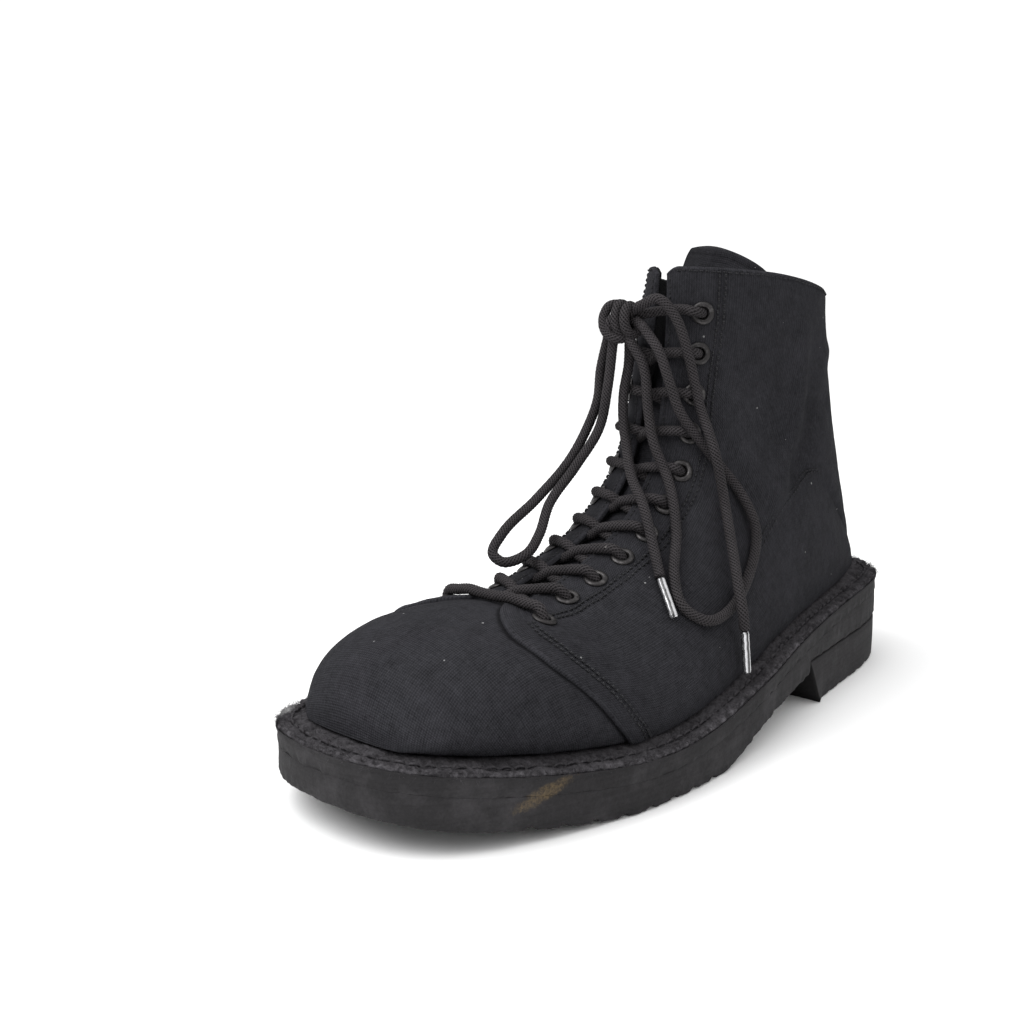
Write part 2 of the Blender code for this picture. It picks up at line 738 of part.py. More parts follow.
def build_pull(frame, axis_height, metal):
    """A closed wire loop that hangs from the slider's bridge, with its origin on its hinge axis."""
    top, low, corner, drop = PULL_TOP_HALF_WIDTH, PULL_LOW_HALF_WIDTH, PULL_CORNER, PULL_LENGTH
    right = [
        (top - corner, 0),
        (top, -corner),
        ((top + low) / 2, -drop / 2),
        (low, corner - drop),
        (low - corner, -drop),
    ]
    loop = right + [(-x, y) for x, y in reversed(right)]
    curve = bpy.data.curves.new("zip_pull", "CURVE")
    curve.dimensions = "3D"
    curve.bevel_depth = PULL_WIRE * MM
    curve.bevel_resolution = 1
    spline = curve.splines.new("POLY")
    spline.points.add(len(loop) - 1)
    spline.use_cyclic_u = True
    for point, (x, y) in zip(spline.points, loop):
        point.co = (x * MM, y * MM, 0, 1)
    curve.materials.append(metal)
    pull = bpy.data.objects.new("zip_pull", curve)
    bpy.context.scene.collection.objects.link(pull)
    pull.matrix_world = frame @ Matrix.Translation((0, 0, axis_height * MM))


# Lace


def strand(from_row, to_row, side, reach_from, reach_to):
    """Points of one lace strand over the throat, from beside an eyelet on one side to the other side."""
    across = np.linspace(reach_from, -reach_to, 6)
    rows = np.linspace(from_row, to_row, 6)
    return [raised(row, side * t, LACE_LIFT) for row, t in zip(rows, across)]


def build_lacing(finish):
    """A bar over the lowest eyelets, a crossing of two strands for each pair above, and the top strand."""
    rows = eyelet_rows()
    reach = FACING_TO_EYELET - EYELET_FLANGE - LACE_TO_FLANGE
    low_reach = reach + FACING_TO_LOW_EYELET - FACING_TO_EYELET
    single = {1: (rows[0], low_reach, low_reach), EYELET_COUNT: (rows[-1], reach, TOP_STRAND_REACH)}
    for number, (row, reach_from, reach_to) in single.items():
        bm = bmesh.new()
        add_tube(bm, strand(row, row, LATERAL, reach_from, reach_to), LACE_RADIUS * MM)
        place(f"lace_row_{number:02d}", bm, finish)
    for number in range(2, EYELET_COUNT):
        low = (rows[number - 2] + rows[number - 1]) / 2
        strands = []
        for side, label in ((LATERAL, f"lace_row_{number:02d}"), (MEDIAL, f"lace_strand_{number:02d}")):
            bm = bmesh.new()
            add_tube(bm, strand(rows[number - 1], low, side, reach, reach - 1), LACE_RADIUS * MM)
            strands.append(place(label, bm, finish))
        join = strands[0].modifiers.new("crossing", "BOOLEAN")
        join.operation = "UNION"
        join.solver = "EXACT"
        join.object = strands[1]
        strands[1].hide_render = True
        strands[1].display_type = "WIRE"


def along_route(route):
    """Points a cord step apart on a smooth curve through a route's own points, in metres."""
    route = np.asarray(route, float)
    chords = np.concatenate([[0], np.cumsum(np.linalg.norm(np.diff(route, axis=0), axis=1))])
    places = np.linspace(0, chords[-1], int(round(chords[-1] / CORD_STEP)) + 1)
    return np.stack([smooth(chords, route[:, k], places) for k in range(3)], axis=1) * MM


def cord(name, route, finish):
    curve = bpy.data.curves.new(name, "CURVE")
    curve.dimensions = "3D"
    curve.bevel_depth = LACE_RADIUS * MM
    curve.bevel_resolution = 2
    curve.use_fill_caps = True
    points = along_route(route)
    spline = curve.splines.new("POLY")
    spline.points.add(len(points) - 1)
    for point, place_of in zip(spline.points, points):
        point.co = (*place_of, 1)
    curve.materials.append(finish)
    bpy.context.scene.collection.objects.link(bpy.data.objects.new(name, curve))


def build_bow(finish, tip_finish):
    """The knot, its two loops and its two ends, each end with a hard tip."""
    bm = bmesh.new()
    bmesh.ops.create_uvsphere(bm, u_segments=12, v_segments=8, radius=1)
    sized = Matrix.Translation(Vector(KNOT_CENTRE) * MM) @ Matrix.Diagonal((*(Vector(KNOT_RADII) * MM), 1))
    bmesh.ops.transform(bm, matrix=sized, verts=bm.verts)
    place("lace_knot", bm, finish)
    cord("lace_loop_medial", MEDIAL_LOOP, finish)
    cord("lace_loop_lateral", LATERAL_LOOP, finish)
    for number, route, tip in ((1, END_1, AGLET_1_TIP), (2, END_2, AGLET_2_TIP)):
        cord(f"lace_end_{number}", route, finish)
        start = Vector(route[-1])
        start += (Vector(tip) - start).normalized() * AGLET_GAP
        bm = bmesh.new()
        add_tube(bm, [start * MM, Vector(tip) * MM], AGLET_RADIUS * MM, sides=8)
        place(f"aglet_{number}", bm, tip_finish)


def main():
    for obj in list(bpy.data.objects):
        bpy.data.objects.remove(obj)
    rubber = material("sole_rubber", (0.014, 0.013, 0.012), 0.62)
    canvas = material("black_canvas", (0.012, 0.012, 0.014), 0.9)
    strip = material("napped_welt", (0.016, 0.015, 0.015), 0.95)
    foam = material("insole_foam", (0.02, 0.02, 0.02), 0.9)
    enamel = material("eyelet_enamel", (0.02, 0.02, 0.022), 0.4, 0.6)
    metal = material("dark_zip_metal", (0.06, 0.06, 0.06), 0.35, 1.0)
    tape = material("zip_tape", (0.012, 0.012, 0.013), 0.85)
    lace = material("lace_cord", (0.018, 0.016, 0.015), 0.85)
    tip = material("aglet_tip", (0.25, 0.25, 0.26), 0.3, 0.2)
    build_sole(rubber, strip, foam)
    build_upper(canvas)
    build_tongue(canvas)
    build_eyelets(enamel)
    build_lacing(lace)
    build_bow(lace, tip)
    build_zip(tape, metal)


if __name__ == "__main__":
    main()
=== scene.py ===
"""Looks of a worn left ankle boot: black canvas, braided lace, napped welt and thick rubber sole.

Tables and shape functions are in millimetres, in the frame of the CAD: the toe points to -Y and the outer side is +X.
A place on the upper is a row, from 0 at the toe to 20 at the collar, and a distance across from the front line, which
is positive on the outer side. A place along the sole is u, the distance forward from the back of the heel.
"""

import json
import math
from collections import namedtuple

import bmesh
import bpy
import numpy as np
from mathutils import Matrix

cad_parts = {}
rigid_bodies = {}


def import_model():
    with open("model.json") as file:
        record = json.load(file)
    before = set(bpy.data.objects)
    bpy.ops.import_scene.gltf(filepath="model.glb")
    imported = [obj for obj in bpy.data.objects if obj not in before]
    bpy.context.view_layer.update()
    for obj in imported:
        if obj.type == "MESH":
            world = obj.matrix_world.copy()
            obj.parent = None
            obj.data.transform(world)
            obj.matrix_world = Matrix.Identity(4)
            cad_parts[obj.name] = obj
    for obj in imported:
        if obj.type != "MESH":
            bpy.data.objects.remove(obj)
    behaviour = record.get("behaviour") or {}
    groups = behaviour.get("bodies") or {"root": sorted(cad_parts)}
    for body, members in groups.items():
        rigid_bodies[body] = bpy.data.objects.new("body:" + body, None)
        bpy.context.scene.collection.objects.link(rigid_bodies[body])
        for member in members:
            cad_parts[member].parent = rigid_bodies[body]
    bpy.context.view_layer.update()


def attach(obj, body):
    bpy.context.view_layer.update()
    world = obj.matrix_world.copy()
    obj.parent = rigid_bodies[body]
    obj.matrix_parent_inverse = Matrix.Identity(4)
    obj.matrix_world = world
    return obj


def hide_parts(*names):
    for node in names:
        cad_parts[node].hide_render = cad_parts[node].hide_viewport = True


for leftover in list(bpy.data.objects):
    bpy.data.objects.remove(leftover)
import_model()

bl_info = {
    "name": "Canvas lace-up boot looks",
    "version": (1, 0, 0),
    "blender": (4, 5, 0),
    "location": "3D View > Sidebar > Boot",
    "description": "Builds the canvas, lace, welt and sole of a worn ankle boot over its packed frame",
    "category": "Object",
}

MM = 0.001
UV_UNIT = 100.0  # mm of cloth to one unit of the cloth UV map
LATERAL, MEDIAL = 1, -1
SIDES = {"lateral": LATERAL, "medial": MEDIAL}
SEED = 7

# Sole
SOLE_LENGTH = 302.0
MIDDLE_U = 151.0
WELT_LEDGE, WELT_WIDTH, WELT_RISE, WELT_THICK = 9.0, 13.0, 2.5, 2.8
MIDSOLE_THICK, LAYER_GAP, LIP = 4.4, 0.3, 1.9
FEATHER_GAP = 1.0
HEEL_LIFT, HEEL_FRONT_TOP, HEEL_FRONT_LOW, HEEL_SLANT_U = 18.5, 100.0, 91.0, 86.0
GROOVE_PITCH, GROOVE_WIDTH, GROOVE_DEPTH = 11.0, 3.2, 1.0
HEEL_GROOVES, FOREFOOT_GROOVES = (22.0, 77.0), (184.0, 261.0)
SPINE = (22.0, 262.0)  # ends of the middle line that the rings of a layer close on
HEEL_CENTRE = (0.5, 52.0)
INSOLE_INSET, INSOLE_TOP, INSOLE_LOW, INSOLE_SPINE = 13.9, 2.7, -2.8, (32.0, 250.0)
STITCH_INSET = 4.6  # of the welt's stitch row

# Upper
HEEL_ROW, COLLAR_ROW, LAST_ROW = 15, 20.0, 21
COLLAR_DROP, COLLAR_CORNER = 3.8, 5.0
SLACK = np.array([-3.2, -2.4, 0.0])  # the outer back sinks in by this
TOE_PINCH, HEEL_PINCH = 4.6, 2.8  # inner toe and outer heel drawn in
TURN_BACK = np.array([3.0, 8.5, 0.0])  # the inner facing turns back by this under the collar
OVERHANG = 1.02
ROWS = np.linspace(0, LAST_ROW, LAST_ROW * 12 + 1)
SHARES = np.linspace(0, 1, 181)
VAMP_END_ROW = 6.35
LINING_ROW = 6.45
EYELET_ROWS = np.array([5.46, 6.52, 7.34, 8.23, 9.17, 10.14, 11.19, 12.38, 14.02, 16.12, 17.9])
EYELET_ACROSS = np.array([23.5] + 10 * [16.0])
EYELET_NUMBERS = range(1, 12)
FACING_STITCH, SEAM_STITCH, COLLAR_STITCH, ZIP_STITCHES = 22.4, 8.2, 1.6, (3.0, 5.4)  # from the edges
DOUBLE_ROW = 2.2  # between the two lines of a double stitch row
BOLD_STITCH, BOLD_LIFT = 0.4, 0.08  # thread radius and height in the rows that show most
ROW_SPAN = 17.6  # between two rows at the front edge of the quarters
FOLD_FADE = 12.0  # folds die out this near a panel's edge
TONGUE_ROWS = (5.6, 20.85)
TONGUE_HALF, TONGUE_DEPTH, TONGUE_THICK = 26.0, 2.9, 2.5
TONGUE_LEAN, TONGUE_LEAN_ROW = 31.0, 12.0

# Zip
ZIP_U, ZIP_HALF, ZIP_TAPE_HALF = 88.0, 3.6, 6.2
ZIP_ROWS = (11.9, 19.9)
ZIP_JOIN_ROW = 10.95
SLIDER_ROW = 18.9
PULL_LENGTH, PULL_TOP_HALF, PULL_LOW_HALF, PULL_WIRE, PULL_LIFT = 36.0, 2.6, 3.9, 0.8, 5.4

# Lace
LACE_RADIUS, AGLET_RADIUS, AGLET_GAP, BRAID_PITCH = 1.9, 1.4, 0.5, 1.3
LACE_STEP, LACE_SIDES, ROW_SIDES = 0.36, 28, 26
KNOT_CENTRE = (-10.0, 1.5, 151.0)

SOLE_OUTLINE = (  # u, lateral half width, medial half width
    (0, 0, 0), (5, 15.5, 16.5), (15, 27, 28), (36, 34.5, 35.5), (66, 39.5, 38.5), (106, 46, 37.5), (151, 54.5, 41.5),
    (187, 57.6, 49.5), (217, 56.5, 55.5), (248, 49.5, 57.6), (272, 41, 52), (290, 29.5, 39.5),
    (299, 15, 25), (302, -5, 5),
)  # fmt: skip
WELT_TOP = ((0, 38.9), (45, 37.3), (90, 33.6), (145, 26.0), (195, 18.3), (215, 17.9), (242, 20.2), (302, 29.6))
UNDERSIDE = (
    (101, 13.6), (119, 12), (132, 10.8), (146, 8.4), (158, 5), (170, 1.4), (178, 0), (224, 0), (242, 1.6), (255, 3.4),
    (270, 5.7), (285, 8.3), (302, 12.3),
)  # fmt: skip

Section = namedtuple("Section", "front_u front_z end_u lift lateral medial ridge_x square")
SECTIONS = (
    Section(292, 30.4, 287, 0, 13, 20, -5, 2.0),
    Section(290.5, 38.5, 277, 0, 24, 30, -5, 2.0),
    Section(284.5, 48, 263, 0, 34, 39, -5.5, 2.05),
    Section(274, 55, 248, 0, 41, 44, -6, 2.1),
    Section(257, 60, 232, 0, 46, 46, -5.5, 2.1),
    Section(238, 60.8, 217, 0, 48, 45, -4.5, 2.0),
    Section(219, 59.3, 201, 0, 49, 43, -3, 1.95),
    Section(201, 63.4, 183, 0, 49, 41, -2, 1.9),
    Section(185.5, 69.6, 162, 0, 48, 38, -1, 1.9),
    Section(172, 76.8, 138, 0, 45, 36, 0, 1.9),
    Section(160.5, 86, 112, 0, 41, 35, 0, 1.95),
    Section(152, 97, 86, 0, 37.5, 34, 0, 2),
    Section(147.8, 109, 60, 0, 35.5, 33.5, 0, 2),
    Section(146, 119, 36, 0, 34, 33, 0, 2),
    Section(144.8, 127.5, 17, 0, 33, 32.5, 0, 2),
    Section(143.7, 134.5, 9.1, 0, 32.5, 32, 0, 2),
    Section(142.4, 141.5, 16, 18, 32.3, 32, 0, 2),
    Section(141.2, 148.5, 27.5, 46, 32.5, 32, 0, 2),
    Section(140.4, 156, 37, 74, 32.7, 32.3, 0, 2.05),
    Section(140, 163, 43, 99, 33, 32.8, 0, 2.05),
    Section(140, 170, 47, 122, 33.3, 33.2, 0, 2.05),
    Section(140.5, 179, 49, 132, 33.3, 33.2, 0, 2.05),
)

# Front edge of the quarters over the vamp: share of the way from the throat to the sole, row
SEAM = (
    (0, 5.65), (0.021, 5.42), (0.056, 5.2), (0.106, 4.98), (0.166, 4.78), (0.232, 4.6), (0.301, 4.47), (0.411, 4.42),
    (0.528, 4.41), (0.627, 4.48), (0.725, 4.58), (0.873, 4.72), (1, 4.92),
)  # fmt: skip
# Half the gap between the facings: row, distance across
THROAT = ((5.65, 6.5), (7.0, 5.8), (8.3, 5.2), (10.0, 4.5), (14.0, 4.0), (17.5, 2.4), (20.0, 1.8))
# Edge of the heel counter: row, distance across
COUNTER = ((10.7, 55.6), (11.18, 57.4), (11.98, 63.3), (12.73, 71.4), (13.95, 82.0), (14.8, 90.0))

# Soft folds of the canvas: side, height, half width, then row and distance across at points along the fold
FOLDS = (
    (LATERAL, 2.5, 4.4, ((18.6, 61.0), (17.5, 63.5), (15.9, 66.2), (12.9, 61.8), (11.9, 57.0))),
    (LATERAL, -1.8, 6.0, ((17.9, 74.0), (16.6, 77.0), (14.6, 76.0), (13.2, 72.0))),
    (LATERAL, -2.2, 4.5, ((17.45, 96.0), (17.3, 86.0), (16.9, 79.0))),
    (LATERAL, 0.9, 4.0, ((18.6, 96.0), (18.3, 84.0), (18.0, 76.0))),
    (LATERAL, -1.3, 4.5, ((12.4, 30.0), (11.8, 40.0), (11.1, 50.0))),
    (LATERAL, 1.1, 4.0, ((13.3, 30.0), (12.8, 40.0), (12.2, 50.0))),
    (LATERAL, -0.7, 5.0, ((8.2, 34.0), (8.6, 48.0), (8.8, 62.0))),
    (MEDIAL, 1.2, 5.0, ((17.0, 30.0), (14.5, 36.0), (12.4, 38.0))),
    (MEDIAL, -1.4, 5.0, ((17.3, 94.0), (17.1, 84.0), (16.9, 76.0))),
    (MEDIAL, -0.9, 4.5, ((12.3, 28.0), (11.6, 38.0), (11.0, 46.0))),
)

# Routes of the bow, repeated from the CAD
MEDIAL_LOOP = (
    (-15.7, -1.0, 144.6), (-18.2, -2.2, 132), (-19, -3, 120.5), (-21.5, -7, 108.6), (-22.2, -15.5, 98.5),
    (-21, -35.5, 86.5), (-19.8, -54.5, 77), (-18.6, -60.5, 71), (-14.5, -59.5, 68.5), (-10, -53.5, 70.5),
    (-12.5, -43, 76), (-16, -33.5, 85.5), (-17, -17.5, 97.5), (-14.6, -7, 111), (-12.5, -5, 126), (-11.4, -3.5, 142.6),
)  # fmt: skip
LATERAL_LOOP = (
    (-4.4, -2.2, 143.2), (1.2, -1.4, 134), (4.6, -2.6, 118), (8.4, -4.4, 107.5), (15.8, -4.2, 92.8), (24.6, -11.6, 78),
    (33.6, -24.6, 64.2), (39.8, -28.4, 56.4), (45.2, -22.5, 51), (45, -6.4, 52), (41.2, 12, 63.2), (36.9, 21, 75),
    (32.2, 19.3, 86.4), (22.9, 10.1, 103.3), (15, 2.6, 118), (11.4, 0, 130), (7.6, -1, 140), (-0.6, -0.2, 148.6),
)  # fmt: skip
END_1 = (
    (-7.6, 1.4, 142), (-8.2, 1.8, 134), (-8.6, -0.4, 123.5), (-6.6, -2.8, 112.5), (-2.8, -5.4, 104), (4.8, -12, 94.6),
    (13.6, -17, 87), (25.6, -24.8, 70.4), (30.4, -28.6, 64.9),
)  # fmt: skip
AGLET_1_TIP = (40.6, -34, 53.6)
END_2 = (
    (-2.2, -0.6, 155.6), (5.8, 0.6, 158.4), (11.4, 3.4, 152), (15, 6.6, 139), (18.4, 10, 120), (23.6, 8.2, 111.4),
    (28.2, 6.2, 103.8), (31.4, 8.8, 84.4), (41.2, 0.6, 67.4), (46.8, -4.6, 58.6), (49.8, -6.6, 52.4),
    (50.8, -6.4, 45.4),
)  # fmt: skip
AGLET_2_TIP = (52, -5.8, 29.8)


# Curves and shapes


def smooth(knots, values, at):
    """Cubic curve through knots, whose slope at each knot is the mean of the slopes on its two sides."""
    knots, values = np.asarray(knots, float), np.asarray(values, float)
    steps = np.diff(values) / np.diff(knots)
    slopes = np.concatenate([steps[:1], (steps[1:] + steps[:-1]) / 2, steps[-1:]])
    at = np.clip(np.asarray(at, float), knots[0], knots[-1])
    k = np.clip(np.searchsorted(knots, at, side="right") - 1, 0, len(knots) - 2)
    width = knots[k + 1] - knots[k]
    t = (at - knots[k]) / width
    ends = values[k] * (1 + 2 * t) * (1 - t) ** 2 + values[k + 1] * t * t * (3 - 2 * t)
    return ends + width * (slopes[k] * t * (1 - t) ** 2 - slopes[k + 1] * t * t * (1 - t))


def column(table, number):
    """One column of a table."""
    return [row[number] for row in table]


def table_curve(table, at):
    """Smooth curve through a table of two columns."""
    return smooth(column(table, 0), column(table, 1), at)


def unit(vectors):
    """Vectors divided by their own lengths."""
    return vectors / np.maximum(np.linalg.norm(vectors, axis=-1, keepdims=True), 1e-9)


def run(points, axis=0):
    """Distance travelled along an axis of a grid of points."""
    steps = np.linalg.norm(np.diff(points, axis=axis), axis=-1)
    lead = np.zeros_like(np.take(steps, [0], axis=axis))
    return np.cumsum(np.concatenate([lead, steps], axis=axis), axis=axis)


def resample(curve, step):
    """Points at even distances, about one step apart, along a curve."""
    lengths = run(curve)
    places = np.linspace(0, lengths[-1], max(3, round(lengths[-1] / step) + 1))
    return np.stack([np.interp(places, lengths, curve[:, k]) for k in range(3)], axis=-1)


def along_route(route, step):
    """Smooth curve through the points of a route, read at even steps."""
    route = np.asarray(route, float)
    chords = run(route)
    places = np.linspace(0, chords[-1], 40 * len(route))
    return resample(np.stack([smooth(chords, route[:, k], places) for k in range(3)], axis=-1), step)


def spaced(count, gather=0.9):
    """Numbers from 0 to 1 that lie closer together near both ends."""
    t = np.linspace(0, 1, count)
    return t - gather * np.sin(2 * np.pi * t) / (2 * np.pi)


def ripple(points, wavelength, seed, terms=20):
    """Smooth unevenness between about -1 and 1: the mean of sine waves in random directions, over points in space."""
    rng = np.random.default_rng(seed)
    waves = unit(rng.normal(size=(terms, 3))) * rng.uniform(0.6, 1.6, (terms, 1)) * 2 * np.pi / wavelength
    phases = rng.uniform(0, 2 * np.pi, terms)
    return np.sin(points @ waves.T + phases).sum(axis=-1) * math.sqrt(2 / terms) * 0.6


def bell(value, middle, width):
    """Bell curve: 1 at the middle, falling off over about a width on both sides."""
    return np.exp(-(((value - middle) / width) ** 2))


def rounding(distance, radius):
    """Height of a quarter-round edge, from 0 at the edge to 1 a radius away."""
    return np.sqrt(1 - (1 - np.clip(distance / radius, 0, 1)) ** 2)


def spread(*parts):
    """Arrays side by side on a new last axis, each stretched to the common shape."""
    return np.stack(np.broadcast_arrays(*parts), axis=-1)


def lifted(places, normals, height):
    """Places moved along their normals by a height each."""
    return places + normals * np.asarray(height)[..., None]


def circles(first, second, angles):
    """Unit circles in the planes of pairs of directions."""
    return first[:, None] * np.cos(angles)[:, None] + second[:, None] * np.sin(angles)[:, None]


def ring_run(grid):
    """Distance travelled round each closed ring of a grid."""
    return run(np.concatenate([grid, grid[:, :1]], axis=1), axis=1)


def world(x, u, z):
    """Points in the CAD's frame, where y is half the sole's length less u."""
    return spread(x, MIDDLE_U - np.asarray(u), z)


def turn(u):
    """Angle round a half circle on which the sole's length is the diameter."""
    return np.arccos(np.clip(1 - 2 * np.asarray(u, float) / SOLE_LENGTH, -1, 1))


def half_outline(turns, side):
    """Half of the sole's outline: a smooth curve of half widths over the turn, with u = half the length * (1 - cos)."""
    half = smooth(turn(column(SOLE_OUTLINE, 0)), column(SOLE_OUTLINE, 1 if side == LATERAL else 2), turns)
    return side * half, SOLE_LENGTH / 2 * (1 - np.cos(turns))


def outline(u, inset, side):
    """Distance from the middle of the sole's outline, moved inward square to itself."""
    x, along = half_outline(np.linspace(0, np.pi, 600), side)
    du, dx = np.gradient(along), np.gradient(x)
    length = np.hypot(du, dx)
    return np.interp(u, along + side * dx / length * inset, x - side * du / length * inset)


def welt_top(u):
    """Height of the welt's outer edge: the smooth curve through its table."""
    return table_curve(WELT_TOP, u)


def feather(u):
    """Height at which the upper meets the welt."""
    return welt_top(u) + WELT_RISE * WELT_LEDGE / WELT_WIDTH + FEATHER_GAP


def half_sections(side):
    """One side of the upper: in each row, a rounded arch from the front line to the sole or the back seam."""
    at = np.arange(len(SECTIONS))
    part = {n: smooth(at, [getattr(s, n) for s in SECTIONS], ROWS)[:, None] for n in Section._fields}
    rows = ROWS[:, None]
    power = 2 / part["square"]
    end_z = feather(part["end_u"]) + np.maximum(part["lift"], 0)
    if side == LATERAL:
        pinch, half = HEEL_PINCH * bell(rows, 13.6, 1.1), part["lateral"]
    else:
        pinch, half = TOE_PINCH * bell(rows, 1.3, 1.9), part["medial"]
    end_x = np.abs(outline(part["end_u"], WELT_LEDGE, side) - part["ridge_x"]) - pinch
    end_x = np.where(rows < HEEL_ROW, end_x, 0.0)
    half = half - pinch
    reach = np.maximum(half - side * part["ridge_x"], OVERHANG * end_x)
    last = np.pi - np.arcsin(np.minimum(1.0, (end_x / reach) ** (1 / power)))
    share = np.linspace(0, 1, 241)[None, :]
    angle = share * last
    cosine = np.sign(np.cos(angle)) * np.abs(np.cos(angle)) ** power
    down = (1 - cosine) / (1 - cosine[:, -1:])
    across = np.abs(np.sin(angle)) ** power
    across[:, -1:] = end_x / reach
    plunge = 0.3 * bell(rows, 13, 1.5)
    dip = (1 - plunge) * down + plunge * (1 - np.sqrt(1 - share**2))
    x = part["ridge_x"] + side * reach * across
    u = part["front_u"] + (part["end_u"] - part["front_u"]) * down
    return world(x, u, part["front_z"] + (end_z - part["front_z"]) * dip)


def evened(grid):
    """The same rows, with their points at even shares of each row's length."""

    def even_row(row, far):
        return np.stack([np.interp(SHARES * far[-1], far, row[:, k]) for k in range(3)], axis=-1)

    return np.stack([even_row(row, far) for row, far in zip(grid, run(grid, axis=1))])


def half_table(side):
    """Table of one side of the upper, smoothed round the ankle and heel, and the length of each of its rows."""
    grid = evened(half_sections(side))
    weight = bell(ROWS, 14.5, 2.2)[:, None] * (1 - SHARES**8) * np.minimum(1, 4 * SHARES)
    weight = weight[1:-1, 1:-1, None]
    for _ in range(60):
        mean = (grid[2:, 1:-1] + grid[:-2, 1:-1] + grid[1:-1, 2:] + grid[1:-1, :-2]) / 4
        grid[1:-1, 1:-1] += (mean - grid[1:-1, 1:-1]) * weight
    if side == LATERAL:
        slack = bell(SHARES, 0.8, 0.2) * (1 - SHARES**12) * np.clip((ROWS - 12.6) / 1.6, 0, 1)[:, None]
        grid += slack[..., None] * SLACK
    else:
        bend = np.sin(np.pi * np.clip(SHARES / 0.44, 0, 1)) ** 1.5 * np.clip((ROWS - 15.3) / 4.5, 0, 1)[:, None] ** 1.3
        grid += bend[..., None] * TURN_BACK
    grid = evened(grid)
    return grid, run(grid, axis=1)[:, -1]


UPPER = {side: half_table(side) for side in (LATERAL, MEDIAL)}


def row_length(rows, side):
    """Length of a row on one side, in straight lines between the rows of the upper's table."""
    return np.interp(rows, ROWS, UPPER[side][1])


def on_upper(rows, across):
    """Places on the upper's face, read from its table by row and by share of the row's length."""
    rows, across = np.broadcast_arrays(np.asarray(rows, float), np.asarray(across, float))
    down = np.clip(rows / LAST_ROW * (len(ROWS) - 1), 0, len(ROWS) - 1.001)
    i = down.astype(int)
    f = (down - i)[..., None]
    places = np.zeros(rows.shape + (3,))
    for side, (grid, lengths) in UPPER.items():
        length = lengths[i] * (1 - f[..., 0]) + lengths[i + 1] * f[..., 0]
        along = np.clip(np.abs(across) / length * (len(SHARES) - 1), 0, len(SHARES) - 1.001)
        j = along.astype(int)
        h = (along - j)[..., None]
        low = grid[i, j] * (1 - h) + grid[i, j + 1] * h
        high = grid[i + 1, j] * (1 - h) + grid[i + 1, j + 1] * h
        places = np.where(((across >= 0) == (side == LATERAL))[..., None], low * (1 - f) + high * f, places)
    return places


def upper_normal(rows, across):
    """Outward unit normals of the upper's face."""
    sideways = on_upper(rows, across + 0.8) - on_upper(rows, across - 0.8)
    upward = on_upper(rows + 0.06, across) - on_upper(rows - 0.06, across)
    return unit(np.cross(sideways, upward))


def raised(rows, across, lift):
    """Places at a height over the upper's face."""
    rows, across = np.broadcast_arrays(np.asarray(rows, float), np.asarray(across, float))
    return lifted(on_upper(rows, across), upper_normal(rows, across), lift)


def throat(rows):
    """Half the gap between the facings, in straight lines between the points of its table."""
    return np.interp(rows, column(THROAT, 0), column(THROAT, 1))


def collar_row(across, side):
    """Row of the collar's edge, which falls towards the back and is rounded off at the facing's corner."""
    share = np.clip((across / row_length(COLLAR_ROW, side) - 0.3) / 0.45, 0, 1)
    corner = np.clip(1 - (across - throat(COLLAR_ROW)) / COLLAR_CORNER, 0, 1)
    drop = COLLAR_DROP * share**2 * (3 - 2 * share) + 2.6 * corner**2
    top, below = (on_upper(COLLAR_ROW - d + 0 * across, side * across) for d in (0, 1))
    return COLLAR_ROW - drop / np.linalg.norm(top - below, axis=-1)


def zip_across(rows):
    """Distance across at which each row of the inner side passes the zip's line, or the row's whole length below it."""
    grid, lengths = UPPER[MEDIAL]
    u = MIDDLE_U - grid[..., 1]
    share = np.argmax(u < ZIP_U, axis=1) / (len(SHARES) - 1)
    share = np.where((u < ZIP_U).any(axis=1), share, 1.0)
    return np.interp(rows, ROWS, share * lengths)


def zip_gap(rows):
    """Half the gap between the zip's folded edges, which closes below the zip."""
    return ZIP_HALF * np.clip((rows - ZIP_ROWS[0] + 0.5) / 0.5, 0.06, 1)


# Meshes

Patch = namedtuple("Patch", "points quads uv mark")


def patch(grid, uv, mark=None):
    """Quads over one grid of points, or over many like grids. The last column joins the first where uv has one more."""
    grid = grid.reshape((-1,) + grid.shape[-3:])
    count, rows, columns = grid.shape[:3]
    width = uv.shape[-2]
    i, j = np.meshgrid(np.arange(rows - 1), np.arange(width - 1), indexing="ij")
    corners = ((0, 0), (0, 1), (1, 1), (1, 0))
    quads = np.stack([(i + a) * columns + (j + b) % columns for a, b in corners], axis=-1).reshape(-1, 4)
    places = np.stack([(i + a) * width + j + b for a, b in corners], axis=-1).reshape(-1, 4)
    quads = (quads[None] + (np.arange(count) * rows * columns)[:, None, None]).reshape(-1, 4)
    corner_uv = np.broadcast_to(uv, (count,) + uv.shape[-3:]).reshape(count, -1, 2)[:, places].reshape(-1, 4, 2)
    mark = np.zeros(grid.shape[:3]) if mark is None else mark
    return Patch(grid.reshape(-1, 3), quads, corner_uv, mark.ravel())


def sheet(outer, inner, uv, mark=None):
    """A closed sheet between two grids of points, joined round their four sides."""
    top = patch(outer, uv, mark)
    size = len(top.points)
    number = np.arange(size).reshape(outer.shape[:2])
    border = np.concatenate([number[0, :-1], number[:-1, -1], number[-1, :0:-1], number[:0:-1, 0]])
    after = np.roll(border, -1)
    rim = np.stack([after, border, border + size, after + size], axis=-1)
    return Patch(
        np.concatenate([top.points, inner.reshape(-1, 3)]),
        np.concatenate([top.quads, top.quads[:, ::-1] + size, rim]),
        np.concatenate([top.uv, top.uv[:, ::-1], uv.reshape(-1, 2)[rim % size]]),
        np.tile(top.mark, 2),
    )


